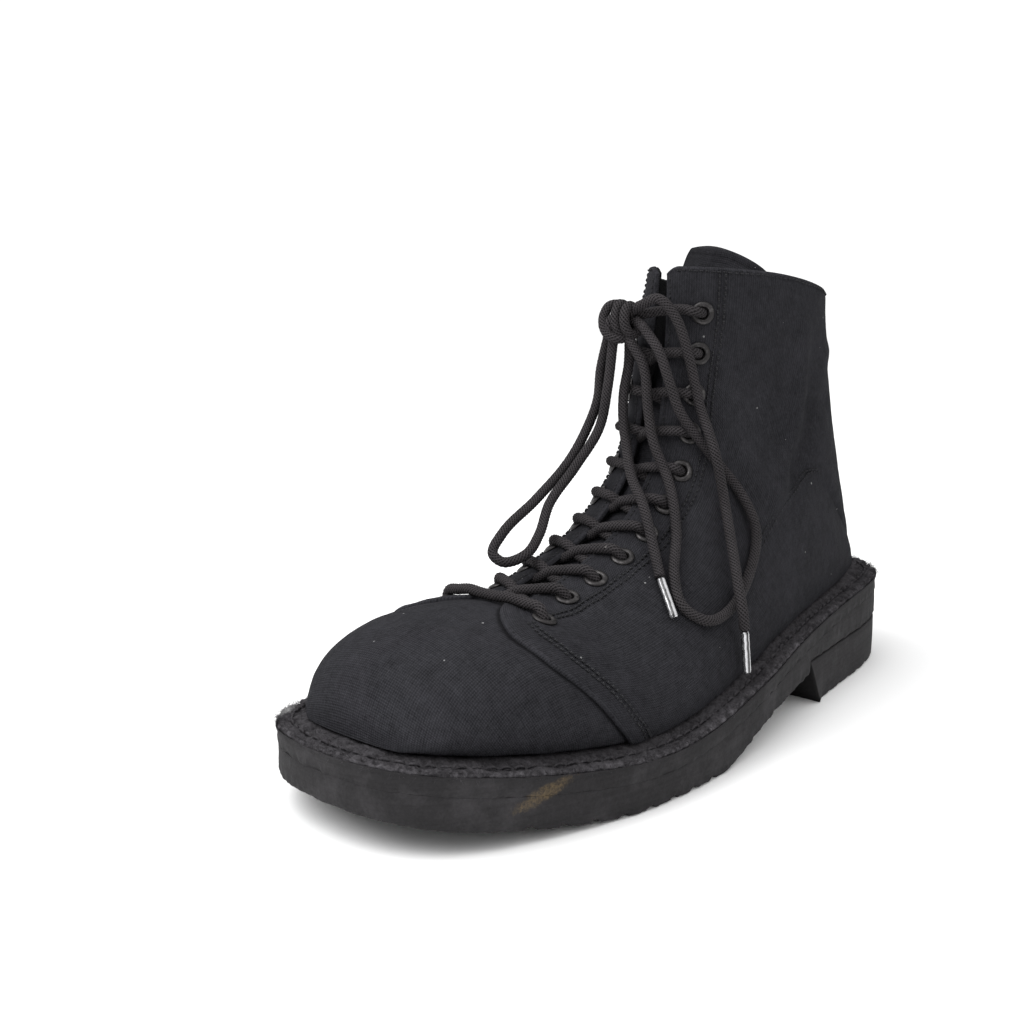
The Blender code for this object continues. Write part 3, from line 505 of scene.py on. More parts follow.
def outward(made):
    """The same patch with its faces turned outward, told by its signed volume."""
    a, b, c, d = (made.points[made.quads[:, k]] for k in range(4))
    volume = np.einsum("ij,ij->", a, np.cross(b, c)) + np.einsum("ij,ij->", a, np.cross(c, d))
    if volume >= 0:
        return made
    return made._replace(quads=made.quads[:, ::-1], uv=made.uv[:, ::-1])


def make_piece(name, solids, finish, body="boot", replaces=()):
    """An object of closed patches, welded where points meet, that rides on a body and stands for CAD nodes."""
    solids = [outward(made) for made in solids]
    starts = np.cumsum([0] + [len(made.points) for made in solids[:-1]])
    mesh = bpy.data.meshes.new(name)
    mesh.from_pydata(
        np.concatenate([made.points for made in solids]) * MM,
        [],
        np.concatenate([made.quads + start for made, start in zip(solids, starts)]),
    )
    layer = mesh.uv_layers.new(name="cloth")
    layer.data.foreach_set("uv", np.concatenate([made.uv for made in solids]).ravel() / UV_UNIT)
    # The attribute: rubbed and frayed edges as positive values, painted shade and shadow as negative ones
    mark = mesh.attributes.new("wear", "FLOAT", "POINT")
    mark.data.foreach_set("value", np.concatenate([made.mark for made in solids]))
    bm = bmesh.new()
    bm.from_mesh(mesh)
    bmesh.ops.remove_doubles(bm, verts=bm.verts, dist=2e-6)
    bm.to_mesh(mesh)
    bm.free()
    mesh.shade_smooth()
    mesh.materials.append(finish)
    made = bpy.data.objects.new(name, mesh)
    bpy.context.scene.collection.objects.link(made)
    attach(made, body)
    if replaces:
        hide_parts(*replaces)
    return made


def carried_frames(path):
    """Tangents and two normals along a path, carried on from ring to ring without twist."""
    tangents = unit(np.gradient(path, axis=0))
    sides = [unit(np.cross(tangents[0], (0.31, 0.52, 0.8)))]
    for tangent in tangents[1:]:
        sides.append(unit(sides[-1] - tangent * (sides[-1] @ tangent)))
    sides = np.array(sides)
    return tangents, sides, np.cross(tangents, sides)


def tube(path, radius, sides, mark=None):
    """A round tube along a path, its rings radius * (cos, sin) about it, with both ends drawn shut to a point.

    radius is a number, or a function of the angle round the path and the distance along it.
    """
    angles = np.linspace(0, 2 * np.pi, sides + 1)
    _, first, second = carried_frames(path)
    along = run(path)
    around = angles[None, :-1]
    size = radius(around, along[:, None]) if callable(radius) else np.full((len(path), sides), radius)
    grid = path[:, None] + circles(first, second, angles[:-1]) * size[..., None]
    ends = np.repeat(path[[0, -1], None], sides, axis=1)
    grid = np.concatenate([ends[:1], grid, ends[1:]])
    along = np.concatenate([along[:1], along, along[-1:]])
    uv = spread(angles[None] / (2 * np.pi) * UV_UNIT, along[:, None])
    return patch(grid, uv, mark)


def braid(angle, along):
    """Radius of a round braid: two families of strands wound opposite ways, each passing over and under the other."""
    one = 4 * angle + along * np.pi / BRAID_PITCH
    other = 4 * angle - along * np.pi / BRAID_PITCH
    first = np.cos(one) ** 2 * (0.72 + 0.28 * np.cos(2 * other))
    second = np.cos(other) ** 2 * (0.72 - 0.28 * np.cos(2 * one))
    return LACE_RADIUS * (0.87 + 0.15 * np.maximum(first, second))


def capsules(places, tangents, normals, half, radius):
    """Many short stitches: a rounded thread that dips at both ends, at each place along its tangent."""
    share = np.array([-1, -0.92, -0.6, 0, 0.6, 0.92, 1])
    size = np.array([0, 0.6, 0.95, 1, 0.95, 0.6, 0]) * radius
    angles = np.linspace(0, 2 * np.pi, 7)[:-1]
    aside = np.cross(normals, tangents)
    dip = radius * (0.9 - 1.5 * np.abs(share) ** 3)
    middle = places[:, None] + tangents[:, None] * (share * half)[:, None] + normals[:, None] * dip[:, None]
    grid = middle[:, :, None] + circles(aside, normals, angles)[:, None] * size[:, None, None]
    uv = spread(np.arange(7.0)[None], np.arange(7.0)[:, None])
    return patch(grid, uv)


def stitch_run(rows, across, lift, pitch=2.1, length=1.6, radius=0.29):
    """Stitches along a line on the upper, given by many rows and distances across."""
    path = resample(raised(rows, across, np.full(len(rows), lift)), 0.4)
    lengths = run(path)
    number = np.searchsorted(lengths, np.arange(pitch / 2, lengths[-1], pitch)).clip(1, len(path) - 2)
    flat_row = np.interp(lengths, np.linspace(0, lengths[-1], len(rows)), rows)
    flat_across = np.interp(lengths, np.linspace(0, lengths[-1], len(across)), across)
    normals = upper_normal(flat_row[number], flat_across[number])
    tangents = unit(path[number + 1] - path[number - 1])
    normals = unit(normals - tangents * np.einsum("ij,ij->i", normals, tangents)[:, None])
    wander = 0.2 * ripple(path[number], 9, SEED + 40)[:, None] * np.cross(normals, tangents)
    return capsules(path[number] + wander, tangents, normals, length / 2, radius)


def turned(places, normals, profile, sides):
    """Many like rings: a closed profile of radius and height turned round the normal at each place."""
    profile = np.asarray(profile, float)
    first = unit(np.cross(normals, (0.2, 0.3, 0.93)))
    second = np.cross(normals, first)
    angles = np.linspace(0, 2 * np.pi, sides + 1)
    ring = circles(first, second, angles[:-1])
    loop = np.concatenate([profile, profile[:1]])
    radius, height = loop[:, 0, None, None], loop[:, 1, None, None]
    grid = places[:, None, None] + ring[:, None] * radius + normals[:, None, None] * height
    lengths = np.concatenate([[0], np.cumsum(np.linalg.norm(np.diff(loop, axis=0), axis=1))])
    uv = spread(angles[None] * 4, lengths[:, None])
    return patch(grid, uv)


# Canvas panels


def fold_height(places, side):
    """Height of the soft folds at places on one side: a bell curve of the distance to each fold's line."""
    height = np.zeros(places.shape[:-1])
    for fold_side, tall, width, line in FOLDS:
        if fold_side != side:
            continue
        route = along_route(on_upper(np.array(column(line, 0)), side * np.array(column(line, 1))), 4.0)
        away = np.linalg.norm(places[..., None, :] - route, axis=-1).min(axis=-1)
        height += tall * bell(away, 0, width)
    return height


def eyelet_places(side):
    """Centres and normals of the eyelets: the upper's face at their rows and distances across."""
    return on_upper(EYELET_ROWS, side * EYELET_ACROSS), upper_normal(EYELET_ROWS, side * EYELET_ACROSS)


def eyelet_pit(places, side):
    """1 inside the eyelets' holes, falling to 0 under their rims."""
    away = np.linalg.norm(places[..., None, :] - eyelet_places(side)[0], axis=-1).min(axis=-1)
    return np.clip((3.3 - away) / 0.9, 0, 1)


def groove(distance, at):
    """Shallow pull of a stitch row in the cloth."""
    return -0.24 * bell(distance, at, 0.9)


def panel_places(side, near, far, first_row, count, short=0.0):
    """Rows, distances across and places of a panel between two edges given as functions of the row."""
    down = spaced(count[0])[:, None]
    share = spaced(count[1])[None, :]
    start = first_row(share)
    last = collar_row(near(COLLAR_ROW) + (far(COLLAR_ROW) - near(COLLAR_ROW)) * share, side) - short
    rows = start + (last - start) * down
    across = near(rows) + (far(rows) - near(rows)) * share
    return rows, across, on_upper(rows, side * across)


def canvas_panel(side, near, far, first_row, count, thick, seam_front=False, folded_far=False):
    """A panel of canvas with rounded folded edges, the pull of its stitch rows, its eyelet holes and its soft folds."""
    rows, across, places = panel_places(side, near, far, first_row, count)
    normals = upper_normal(rows, side * across)
    from_front = run(places)
    from_top = from_front[-1] - from_front
    from_near, from_far = across - near(rows), far(rows) - across
    edge = np.minimum(from_top, from_near)
    shape = groove(from_top, COLLAR_STITCH)
    shape = shape + groove(across, FACING_STITCH - DOUBLE_ROW / 2) + groove(across, FACING_STITCH + DOUBLE_ROW / 2)
    if seam_front:
        edge = np.minimum(edge, from_front)
        shape += groove(from_front, SEAM_STITCH) + groove(from_front, SEAM_STITCH + DOUBLE_ROW)
        shape += 0.25 * bell(from_front, 4, 3)
    if folded_far:
        edge = np.minimum(edge, from_far)
        shape += sum(groove(from_far, at) for at in ZIP_STITCHES)
    round_edge = rounding(edge, 1.1)
    pit = eyelet_pit(places, side)
    folds = fold_height(places, side) * np.clip(edge / FOLD_FADE, 0, 1) * (1 - pit)
    soft = 0.16 * ripple(places, 24, SEED) + 0.07 * ripple(places, 7, SEED + 1)
    lift = 0.05 + (thick - 0.05) * round_edge * (1 - 1.6 * pit) + (shape * (1 - pit) + soft) * round_edge
    outer = lifted(places, normals, lift + folds)
    inner = lifted(places, normals, np.minimum(0.0, lift - 0.3) + folds)
    uv = np.stack([across, from_front], axis=-1)
    wear = np.clip(1 - np.abs(edge - 0.7) / 0.9, 0, 1)
    return sheet(outer, inner, uv, wear)


# Sole


def sole_loop(count):
    """Points and inward unit normals round the sole's outline, along the outer side and back along the inner one."""
    angle = np.linspace(0, 2 * np.pi, count, endpoint=False)
    x_out, u_out = half_outline(np.minimum(angle, np.pi), LATERAL)
    x_in, u_in = half_outline(np.minimum(2 * np.pi - angle, np.pi), MEDIAL)
    x, u = np.where(angle <= np.pi, x_out, x_in), np.where(angle <= np.pi, u_out, u_in)
    dx, du = np.roll(x, -1) - np.roll(x, 1), np.roll(u, -1) - np.roll(u, 1)
    return x, u, unit(np.stack([-du, dx], axis=-1))


def inset_loop(loop, inset):
    """Points of a loop moved inward."""
    x, u, inward = loop
    return x + inward[:, 0] * inset, u + inward[:, 1] * inset


def level_out(inward):
    """Outward directions in the world, from the inward ones of an outline."""
    return spread(-inward[:, 0], inward[:, 1], 0.0)


def grooved(u, span):
    """Depth of the cross grooves at u, with sloped sides."""
    centres = np.arange(span[0], span[1] + 1, GROOVE_PITCH)
    away = np.abs(np.asarray(u)[..., None] - centres).min(axis=-1)
    return GROOVE_DEPTH * np.clip((GROOVE_WIDTH / 2 + 0.5 - away) / 0.7, 0, 1)


def sole_layer(loop, rings, top, low, spine, rough=0.0):
    """A layer of the sole: rings round its outline, each moved inward and set between the layer's low and top heights.

    A ring is its inset, its share of the way to the middle line, its share of the height from low to top, and a lift.
    """
    rings = np.asarray(rings, float)
    inset, share, level, lift = (rings[:, k, None] for k in range(4))
    ring_x, ring_u = inset_loop(loop, inset)
    centre_u = np.clip(ring_u, *spine)
    centre_x = (outline(centre_u, 0, LATERAL) + outline(centre_u, 0, MEDIAL)) / 2
    ring_x, ring_u = ring_x + (centre_x - ring_x) * share, ring_u + (centre_u - ring_u) * share
    z = level * top(ring_u) + (1 - level) * low(ring_u) + lift
    grid = world(ring_x, ring_u, z)
    if rough:
        worn = 2 * ripple(grid, 5, SEED + 4) + ripple(grid, 2.5, SEED + 5)
        uneven = ripple(grid, 14, SEED + 3) + (1 - level) * worn
        grid = grid + level_out(loop[2]) * (rough * uneven * (share < 0.01))[..., None]
    around = ring_run(grid)
    down = np.concatenate([[0], np.cumsum(np.linalg.norm(np.diff(grid[:, 0], axis=0), axis=-1))])
    uv = spread(around, down[:, None])
    wear = np.broadcast_to(np.clip(1 - np.abs(inset) / 1.2, 0, 1) * (share < 0.01), z.shape)
    return patch(grid, uv, wear)


CAP_TOP = [(6, 1, 1, 0), (6, 0.5, 1, 0), (6, 0, 1, 0)]
SIDE_RINGS = [(-0.05, 0, 0.85, 0), (-0.12, 0, 0.66, 0), (-0.16, 0, 0.5, 0), (-0.12, 0, 0.34, 0), (-0.05, 0, 0.18, 0)]
CAP_LOW = [(6, 0, 0, 0), (6, 0.5, 0, 0), (6, 1, 0, 0)]


def below_top(tread):
    """Rings of a layer from under its upper edge, down its side, round its tread and under it to the middle."""
    return SIDE_RINGS + [(0, 0, 0, tread), (tread * 0.3, 0, 0, tread * 0.3), (tread, 0, 0, 0)] + CAP_LOW


def closed_rings(corner, tread):
    """Rings of a layer from the middle of its top, over its rounded upper edge, down its side and under it."""
    edge = [(corner, 0, 1, 0), (corner * 0.3, 0, 1, -corner * 0.3), (0, 0, 1, -corner)]
    return CAP_TOP + edge + below_top(tread)


# Node groups and finishes

FLOAT, VECTOR = "NodeSocketFloat", "NodeSocketVector"


def set_inputs(tree, node, inputs):
    """Sets a node's inputs to values, or joins them to other sockets."""
    for key, value in inputs.items():
        if isinstance(value, bpy.types.NodeSocket):
            tree.links.new(value, node.inputs[key])
        else:
            node.inputs[key].default_value = value


def add_node(tree, kind, inputs=None, **settings):
    """A node with its settings and its inputs."""
    node = tree.nodes.new(kind)
    for key, value in settings.items():
        setattr(node, key, value)
    set_inputs(tree, node, inputs or {})
    return node


def calc(tree, operation, *values):
    """The result of one operation on values or sockets."""
    return add_node(tree, "ShaderNodeMath", dict(enumerate(values)), operation=operation).outputs[0]


def blend_colour(tree, factor, first, second):
    """first * (1 - factor) + second * factor, with the factor held between 0 and 1."""
    return add_node(tree, "ShaderNodeMix", {0: factor, 6: first, 7: second}, data_type="RGBA").outputs[2]


def map_range(tree, value, low, high, to_low=0.0, to_high=1.0):
    """A value moved in proportion from the span low to high to another span, and held at its ends."""
    return add_node(tree, "ShaderNodeMapRange", {0: value, 1: low, 2: high, 3: to_low, 4: to_high}).outputs[0]


def stretched(tree, vector, scale):
    """Coordinates scaled by a factor for each axis."""
    return add_node(tree, "ShaderNodeMapping", {"Vector": vector, "Scale": scale}).outputs[0]


def noise(tree, vector, scale, detail=4.0, rough=0.6):
    """Cloudy noise about 0.5, with scale clouds to a unit."""
    inputs = {"Vector": vector, "Scale": scale, "Detail": detail, "Roughness": rough}
    return add_node(tree, "ShaderNodeTexNoise", inputs).outputs[0]


def new_group(name, inputs, outputs):
    """An empty node group with input sockets, given as name: (type, value), and output sockets."""
    tree = bpy.data.node_groups.new(name, "ShaderNodeTree")
    for label, (kind, value) in inputs.items():
        tree.interface.new_socket(label, in_out="INPUT", socket_type=kind).default_value = value
    for label, kind in outputs.items():
        tree.interface.new_socket(label, in_out="OUTPUT", socket_type=kind)
    return tree, tree.nodes.new("NodeGroupInput").outputs, tree.nodes.new("NodeGroupOutput").inputs


def weave_group():
    """Plain weave: the higher of a warp and a weft thread, each round and lifted where it passes over the other."""
    tree, given, result = new_group(
        "plain_weave", {"Vector": (VECTOR, (0, 0, 0)), "Threads": (FLOAT, 130.0)}, {"Height": FLOAT}
    )
    axes = add_node(tree, "ShaderNodeSeparateXYZ", {0: given["Vector"]}).outputs
    x, y = (calc(tree, "MULTIPLY", axes[k], given["Threads"]) for k in range(2))
    warp, weft = (calc(tree, "ABSOLUTE", calc(tree, "SINE", calc(tree, "MULTIPLY", v, math.pi))) for v in (x, y))
    cell = calc(tree, "ADD", calc(tree, "FLOOR", x), calc(tree, "FLOOR", y))
    over = calc(tree, "FLOORED_MODULO", cell, 2.0)
    under = calc(tree, "SUBTRACT", 1.0, over)
    warp_lift = calc(tree, "MULTIPLY_ADD", calc(tree, "MULTIPLY", weft, over), 0.65, 0.35)
    weft_lift = calc(tree, "MULTIPLY_ADD", calc(tree, "MULTIPLY", warp, under), 0.65, 0.35)
    high = calc(tree, "MAXIMUM", calc(tree, "MULTIPLY", warp, warp_lift), calc(tree, "MULTIPLY", weft, weft_lift))
    tree.links.new(high, result["Height"])


def lint_group():
    """Sparse specks of lint: small discs in a few cells of a cell pattern."""
    tree, given, result = new_group(
        "lint_specks",
        {"Vector": (VECTOR, (0, 0, 0)), "Scale": (FLOAT, 190.0), "Amount": (FLOAT, 0.2), "Size": (FLOAT, 0.06)},
        {"Mask": FLOAT},
    )
    cells = add_node(tree, "ShaderNodeTexVoronoi", {"Vector": given["Vector"], "Scale": given["Scale"]}).outputs
    random = add_node(tree, "ShaderNodeSeparateXYZ", {0: cells["Color"]}).outputs
    few = calc(tree, "LESS_THAN", random[0], given["Amount"])
    uneven = calc(tree, "MULTIPLY_ADD", random[1], 1.1, 0.3)
    small = calc(tree, "LESS_THAN", cells["Distance"], calc(tree, "MULTIPLY", given["Size"], uneven))
    tree.links.new(calc(tree, "MULTIPLY", few, small), result["Mask"])


def scuff_group():
    """A rubbed streak: near 1 round a line through a centre, broken up by fine and coarse noise."""
    tree, given, result = new_group(
        "scuff_streak",
        {
            "Vector": (VECTOR, (0, 0, 0)),
            "Centre": (VECTOR, (0, 0, 0)),
            "Direction": (VECTOR, (0, 1, 0)),
            "Length": (FLOAT, 0.02),
            "Width": (FLOAT, 0.004),
        },
        {"Mask": FLOAT},
    )

    def vector(operation, a, b):
        """The results of one operation on two vectors."""
        return add_node(tree, "ShaderNodeVectorMath", {0: a, 1: b}, operation=operation).outputs

    offset = vector("SUBTRACT", given["Vector"], given["Centre"])[0]
    along = vector("DOT_PRODUCT", offset, given["Direction"])[1]
    square = vector("DOT_PRODUCT", offset, offset)[1]
    beside = calc(tree, "SUBTRACT", square, calc(tree, "MULTIPLY", along, along))
    away = calc(tree, "SQRT", calc(tree, "MAXIMUM", beside, 0.0))
    far = calc(tree, "DIVIDE", calc(tree, "ABSOLUTE", along), given["Length"])
    wide = calc(tree, "DIVIDE", away, given["Width"])
    reach = calc(tree, "ADD", calc(tree, "POWER", far, 2.0), calc(tree, "POWER", wide, 2.0))
    broken = calc(tree, "MULTIPLY_ADD", noise(tree, given["Vector"], 420.0, 6.0, 0.75), 3.2, -1.7)
    mask = map_range(tree, calc(tree, "ADD", reach, broken), 1.0, 0.1)
    tree.links.new(mask, result["Mask"])


def use_group(tree, name, **inputs):
    """The output of a placed node group."""
    return add_node(tree, "ShaderNodeGroup", inputs, node_tree=bpy.data.node_groups[name]).outputs[0]


Finish = namedtuple("Finish", "material tree shader place cloth wear")


def start_finish(name):
    """A new material with its shader, Object coordinates, cloth UV map and the attribute of rubbed edges and painted
    shade.
    """
    material = bpy.data.materials.new(name)
    material.use_nodes = True
    tree = material.node_tree
    shader = tree.nodes["Principled BSDF"]
    place = add_node(tree, "ShaderNodeTexCoord").outputs["Object"]
    cloth = add_node(tree, "ShaderNodeUVMap", uv_map="cloth").outputs[0]
    wear = add_node(tree, "ShaderNodeAttribute", attribute_name="wear").outputs["Fac"]
    return Finish(material, tree, shader, place, cloth, wear)


def shade(colour, factor):
    """A colour times a factor, with an alpha of 1."""
    return (colour[0] * factor, colour[1] * factor, colour[2] * factor, 1.0)


def set_bump(made, height, strength, distance):
    """Tilts a finish's normals by the slope of a height."""
    inputs = {"Height": height, "Strength": strength, "Distance": distance}
    made.tree.links.new(add_node(made.tree, "ShaderNodeBump", inputs).outputs[0], made.shader.inputs["Normal"])


def finish_canvas(name, colour, threads=118.0):
    """Matte heavy canvas: weave in bump and in colour as painted shade between threads, uneven threads, cloudy fading,
    paler folded edges, a painted seam shadow and lint.
    """
    made = start_finish(name)
    tree = made.tree
    shift = {0: 0.004, 4: made.cloth, 5: noise(tree, made.place, 160.0)}
    bent = add_node(tree, "ShaderNodeMix", shift, data_type="VECTOR").outputs[1]
    weave = use_group(tree, "plain_weave", Vector=bent, Threads=threads)
    cloud = noise(tree, made.place, 28.0, 6.0, 0.65)
    mottle = noise(tree, made.place, 210.0, 4.0, 0.65)
    grain = noise(tree, made.place, 1000.0, 3.0, 0.7)
    # Painted shade: the weave's height sets the colour too, darker in the gaps between threads; the noise below adds
    # real uneven tone
    tone = calc(tree, "MULTIPLY_ADD", weave, 0.5, -0.1)
    for part, amount in ((cloud, 0.55), (mottle, 0.55), (grain, 0.75)):
        tone = calc(tree, "ADD", tone, calc(tree, "MULTIPLY_ADD", part, amount, -amount / 2))
    for scale in ((14.0, 170.0, 1.0), (170.0, 14.0, 1.0)):
        thread = noise(tree, stretched(tree, made.cloth, scale), 1.0, 2.0)
        tone = calc(tree, "ADD", tone, calc(tree, "MULTIPLY_ADD", thread, 0.5, -0.25))
    base = blend_colour(tree, map_range(tree, tone, -0.35, 0.75), shade(colour, 0.3), shade(colour, 1.6))
    rubbed = calc(tree, "MULTIPLY", made.wear, map_range(tree, grain, 0.35, 0.7))
    base = blend_colour(tree, calc(tree, "MULTIPLY", rubbed, 0.5), base, shade(colour, 2.0))
    # Painted shadow: where the attribute is negative, as along the vamp's seam, the colour is darkened
    base = blend_colour(tree, calc(tree, "MULTIPLY", made.wear, -0.85), base, shade(colour, 0.12))
    lint = use_group(tree, "lint_specks", Vector=made.place)
    base = blend_colour(tree, calc(tree, "MULTIPLY", lint, 0.8), base, (0.24, 0.24, 0.24, 1.0))
    rough = map_range(tree, weave, 0.0, 1.0, 1.0, 0.85)
    set_inputs(tree, made.shader, {"Base Color": base, "Roughness": rough, "Specular IOR Level": 0.05})
    height = calc(tree, "ADD", weave, calc(tree, "MULTIPLY", grain, 0.8))
    set_bump(made, height, 0.7, 0.00028)
    return made.material


def finish_lace(name, colour):
    """Braided cord: crossing strands in bump and in colour, as painted highlight on their crowns, painted shade in
    their gaps and painted sheen on one family, with fine fibres along them and a few specks of lint.
    """
    made = start_finish(name)
    tree = made.tree
    axes = add_node(tree, "ShaderNodeSeparateXYZ", {0: made.cloth}).outputs
    around = calc(tree, "MULTIPLY", axes[0], 8 * math.pi)
    along = calc(tree, "MULTIPLY", axes[1], UV_UNIT * math.pi / BRAID_PITCH)
    one = calc(tree, "ABSOLUTE", calc(tree, "COSINE", calc(tree, "ADD", around, along)))
    other = calc(tree, "ABSOLUTE", calc(tree, "COSINE", calc(tree, "SUBTRACT", around, along)))
    strand = calc(tree, "MAXIMUM", one, other)
    slant = calc(tree, "MULTIPLY", calc(tree, "SUBTRACT", one, other), 0.3)
    fibre = noise(tree, made.place, 1500.0, 3.0, 0.7)
    cloud = noise(tree, made.place, 60.0, 4.0)
    # Painted light: the strands' crowns lighter and the gaps between them darker, and one family a little paler than
    # the other as a painted sheen; fibres and cloud add real tone
    tone = calc(tree, "MULTIPLY_ADD", calc(tree, "POWER", strand, 5.0), 0.75, slant)
    tone = calc(tree, "ADD", tone, calc(tree, "MULTIPLY_ADD", fibre, 0.9, -0.4))
    tone = calc(tree, "ADD", tone, calc(tree, "MULTIPLY_ADD", cloud, 0.5, -0.25))
    base = blend_colour(tree, map_range(tree, tone, 0.0, 1.0), shade(colour, 0.2), shade(colour, 2.4))
    lint = use_group(tree, "lint_specks", Vector=made.place, Scale=260.0, Amount=0.04, Size=0.1)
    base = blend_colour(tree, calc(tree, "MULTIPLY", lint, 0.6), base, (0.2, 0.19, 0.18, 1.0))
    rough = map_range(tree, fibre, 0.2, 0.8, 0.7, 0.95)
    set_inputs(tree, made.shader, {"Base Color": base, "Roughness": rough, "Specular IOR Level": 0.16})
    set_bump(made, calc(tree, "ADD", strand, calc(tree, "MULTIPLY", fibre, 0.5)), 0.8, 0.0004)
    return made.material


# Places and sizes of the scuffs, in metres
TAN_SCUFF = {
    "Centre": (0.0464, -0.1068, 0.0155),
    "Direction": (0.2993, 0.8935, 0.335),
    "Length": 0.0115,
    "Width": 0.0026,
}
TOE_SCUFF = {"Centre": (-0.0436, -0.1347, 0.0235), "Direction": (-0.55, 0.82, -0.15), "Length": 0.009, "Width": 0.003}
WELT_SCUFF = {**TOE_SCUFF, "Centre": (-0.0436, -0.1347, 0.0255), "Length": 0.011, "Width": 0.0035}


def finish_rubber(name, colour, scuff_colour):
    """Worn rubber: fine streaks along the edge, dull patches, grey rubbed edges, painted shade on the heel's front
    face, a tan scuff and a pale toe scuff.
    """
    made = start_finish(name)
    tree = made.tree
    streak = noise(tree, stretched(tree, made.place, (16.0, 16.0, 620.0)), 1.0, 5.0, 0.65)
    grain = noise(tree, made.place, 1100.0, 4.0, 0.7)
    cloud = noise(tree, made.place, 45.0, 6.0, 0.7)
    tone = calc(tree, "ADD", calc(tree, "MULTIPLY", streak, 0.45), calc(tree, "MULTIPLY", cloud, 0.45))
    tone = calc(tree, "ADD", tone, calc(tree, "MULTIPLY_ADD", grain, 0.6, -0.3))
    base = blend_colour(tree, map_range(tree, tone, 0.15, 0.75), shade(colour, 0.6), shade(colour, 1.45))
    rubbed = calc(tree, "MULTIPLY", made.wear, map_range(tree, cloud, 0.52, 0.72))
    base = blend_colour(tree, calc(tree, "MULTIPLY", rubbed, 0.25), base, shade(colour, 5.0))
    # Painted shade: where the attribute is negative, on the heel's front face, the colour is darkened
    base = blend_colour(tree, calc(tree, "MULTIPLY", made.wear, -0.8), base, shade(colour, 0.2))
    tan = use_group(tree, "scuff_streak", Vector=made.place, **TAN_SCUFF)
    tan = calc(tree, "MULTIPLY", tan, map_range(tree, grain, 0.35, 0.65, 0.1, 0.7))
    base = blend_colour(tree, tan, base, (*scuff_colour, 1.0))
    toe = use_group(tree, "scuff_streak", Vector=made.place, **TOE_SCUFF)
    base = blend_colour(tree, calc(tree, "MULTIPLY", toe, 0.45), base, (0.16, 0.16, 0.16, 1.0))
    rough = map_range(tree, tone, 0.3, 1.0, 0.9, 0.65)
    set_inputs(tree, made.shader, {"Base Color": base, "Roughness": rough, "Specular IOR Level": 0.25})
    height = calc(tree, "ADD", calc(tree, "MULTIPLY", streak, 0.35), calc(tree, "MULTIPLY", grain, 0.6))
    set_bump(made, height, 0.4, 0.00025)
    return made.material


def finish_napped(name, colour):
    """Napped strip: clotted fibres in colour and bump, with a paler frayed rim, the toe scuff and lint."""
    made = start_finish(name)
    tree = made.tree
    fibre = noise(tree, made.place, 1300.0, 5.0, 0.75)
    clot = noise(tree, made.place, 420.0, 5.0, 0.75)
    tone = calc(tree, "ADD", calc(tree, "MULTIPLY", fibre, 0.6), calc(tree, "MULTIPLY", clot, 0.6))
    base = blend_colour(tree, map_range(tree, tone, 0.38, 0.85), shade(colour, 0.25), shade(colour, 2.3))
    frayed = calc(tree, "MULTIPLY", made.wear, map_range(tree, clot, 0.45, 0.7))
    base = blend_colour(tree, calc(tree, "MULTIPLY", frayed, 0.6), base, shade(colour, 4.0))
    toe = use_group(tree, "scuff_streak", Vector=made.place, **WELT_SCUFF)
    base = blend_colour(tree, toe, base, (0.26, 0.26, 0.26, 1.0))
    lint = use_group(tree, "lint_specks", Vector=made.place, Scale=150.0, Amount=0.08, Size=0.09)
    base = blend_colour(tree, calc(tree, "MULTIPLY", lint, 0.7), base, (0.25, 0.24, 0.23, 1.0))
    rough = map_range(tree, fibre, 0.2, 0.8, 0.85, 1.0)
    set_inputs(tree, made.shader, {"Base Color": base, "Roughness": rough, "Specular IOR Level": 0.06})
    set_bump(made, tone, 0.9, 0.0008)
    return made.material


def finish_metal(name, colour, worn, metallic, rough):
    """Dark metal: enamel or plating worn through in patches to paler metal, with fine scratches."""
    made = start_finish(name)
    tree = made.tree
    patchy = noise(tree, made.place, 420.0, 4.0, 0.6)
    scratch = noise(tree, stretched(tree, made.place, (900.0, 900.0, 120.0)), 1.0, 3.0)
    mask = map_range(tree, patchy, 0.5, 0.75)
    inputs = {
        "Base Color": blend_colour(tree, mask, shade(colour, 1.0), shade(worn, 1.0)),
        "Metallic": map_range(tree, mask, 0.0, 1.0, metallic, 1.0),
        "Roughness": map_range(tree, scratch, 0.2, 0.8, rough, rough + 0.2),
    }
    set_inputs(tree, made.shader, inputs)
    set_bump(made, calc(tree, "ADD", scratch, calc(tree, "MULTIPLY", mask, -0.6)), 0.25, 0.0001)
    return made.material


def finish_aglet(name, colour):
    """Shiny film over the cord: pale sides with darker bands along them, a painted reflection of the dark boot, small
    crimps and a glossy coat.
    """
    made = start_finish(name)
    tree = made.tree
    around = add_node(tree, "ShaderNodeSeparateXYZ", {0: made.cloth}).outputs[0]
    crimp = noise(tree, made.place, 420.0, 3.0, 0.5)
    # Painted reflection: dark bands along the tip stand in for the dark boot seen in the shiny film
    angle = calc(tree, "MULTIPLY_ADD", around, 3 * math.pi, calc(tree, "MULTIPLY", crimp, 0.8))
    painted_reflection = calc(tree, "ABSOLUTE", calc(tree, "SINE", angle))
    base = blend_colour(tree, map_range(tree, painted_reflection, 0.3, 0.75), shade(colour, 0.06), shade(colour, 1.5))
    metallic = map_range(tree, crimp, 0.3, 0.6, 0.7, 0.9)
    coat = {"Coat Weight": 0.6, "Coat Roughness": 0.08}
    set_inputs(tree, made.shader, {"Base Color": base, "Metallic": metallic, "Roughness": 0.22, **coat})
    set_bump(made, crimp, 0.15, 0.0004)
    return made.material


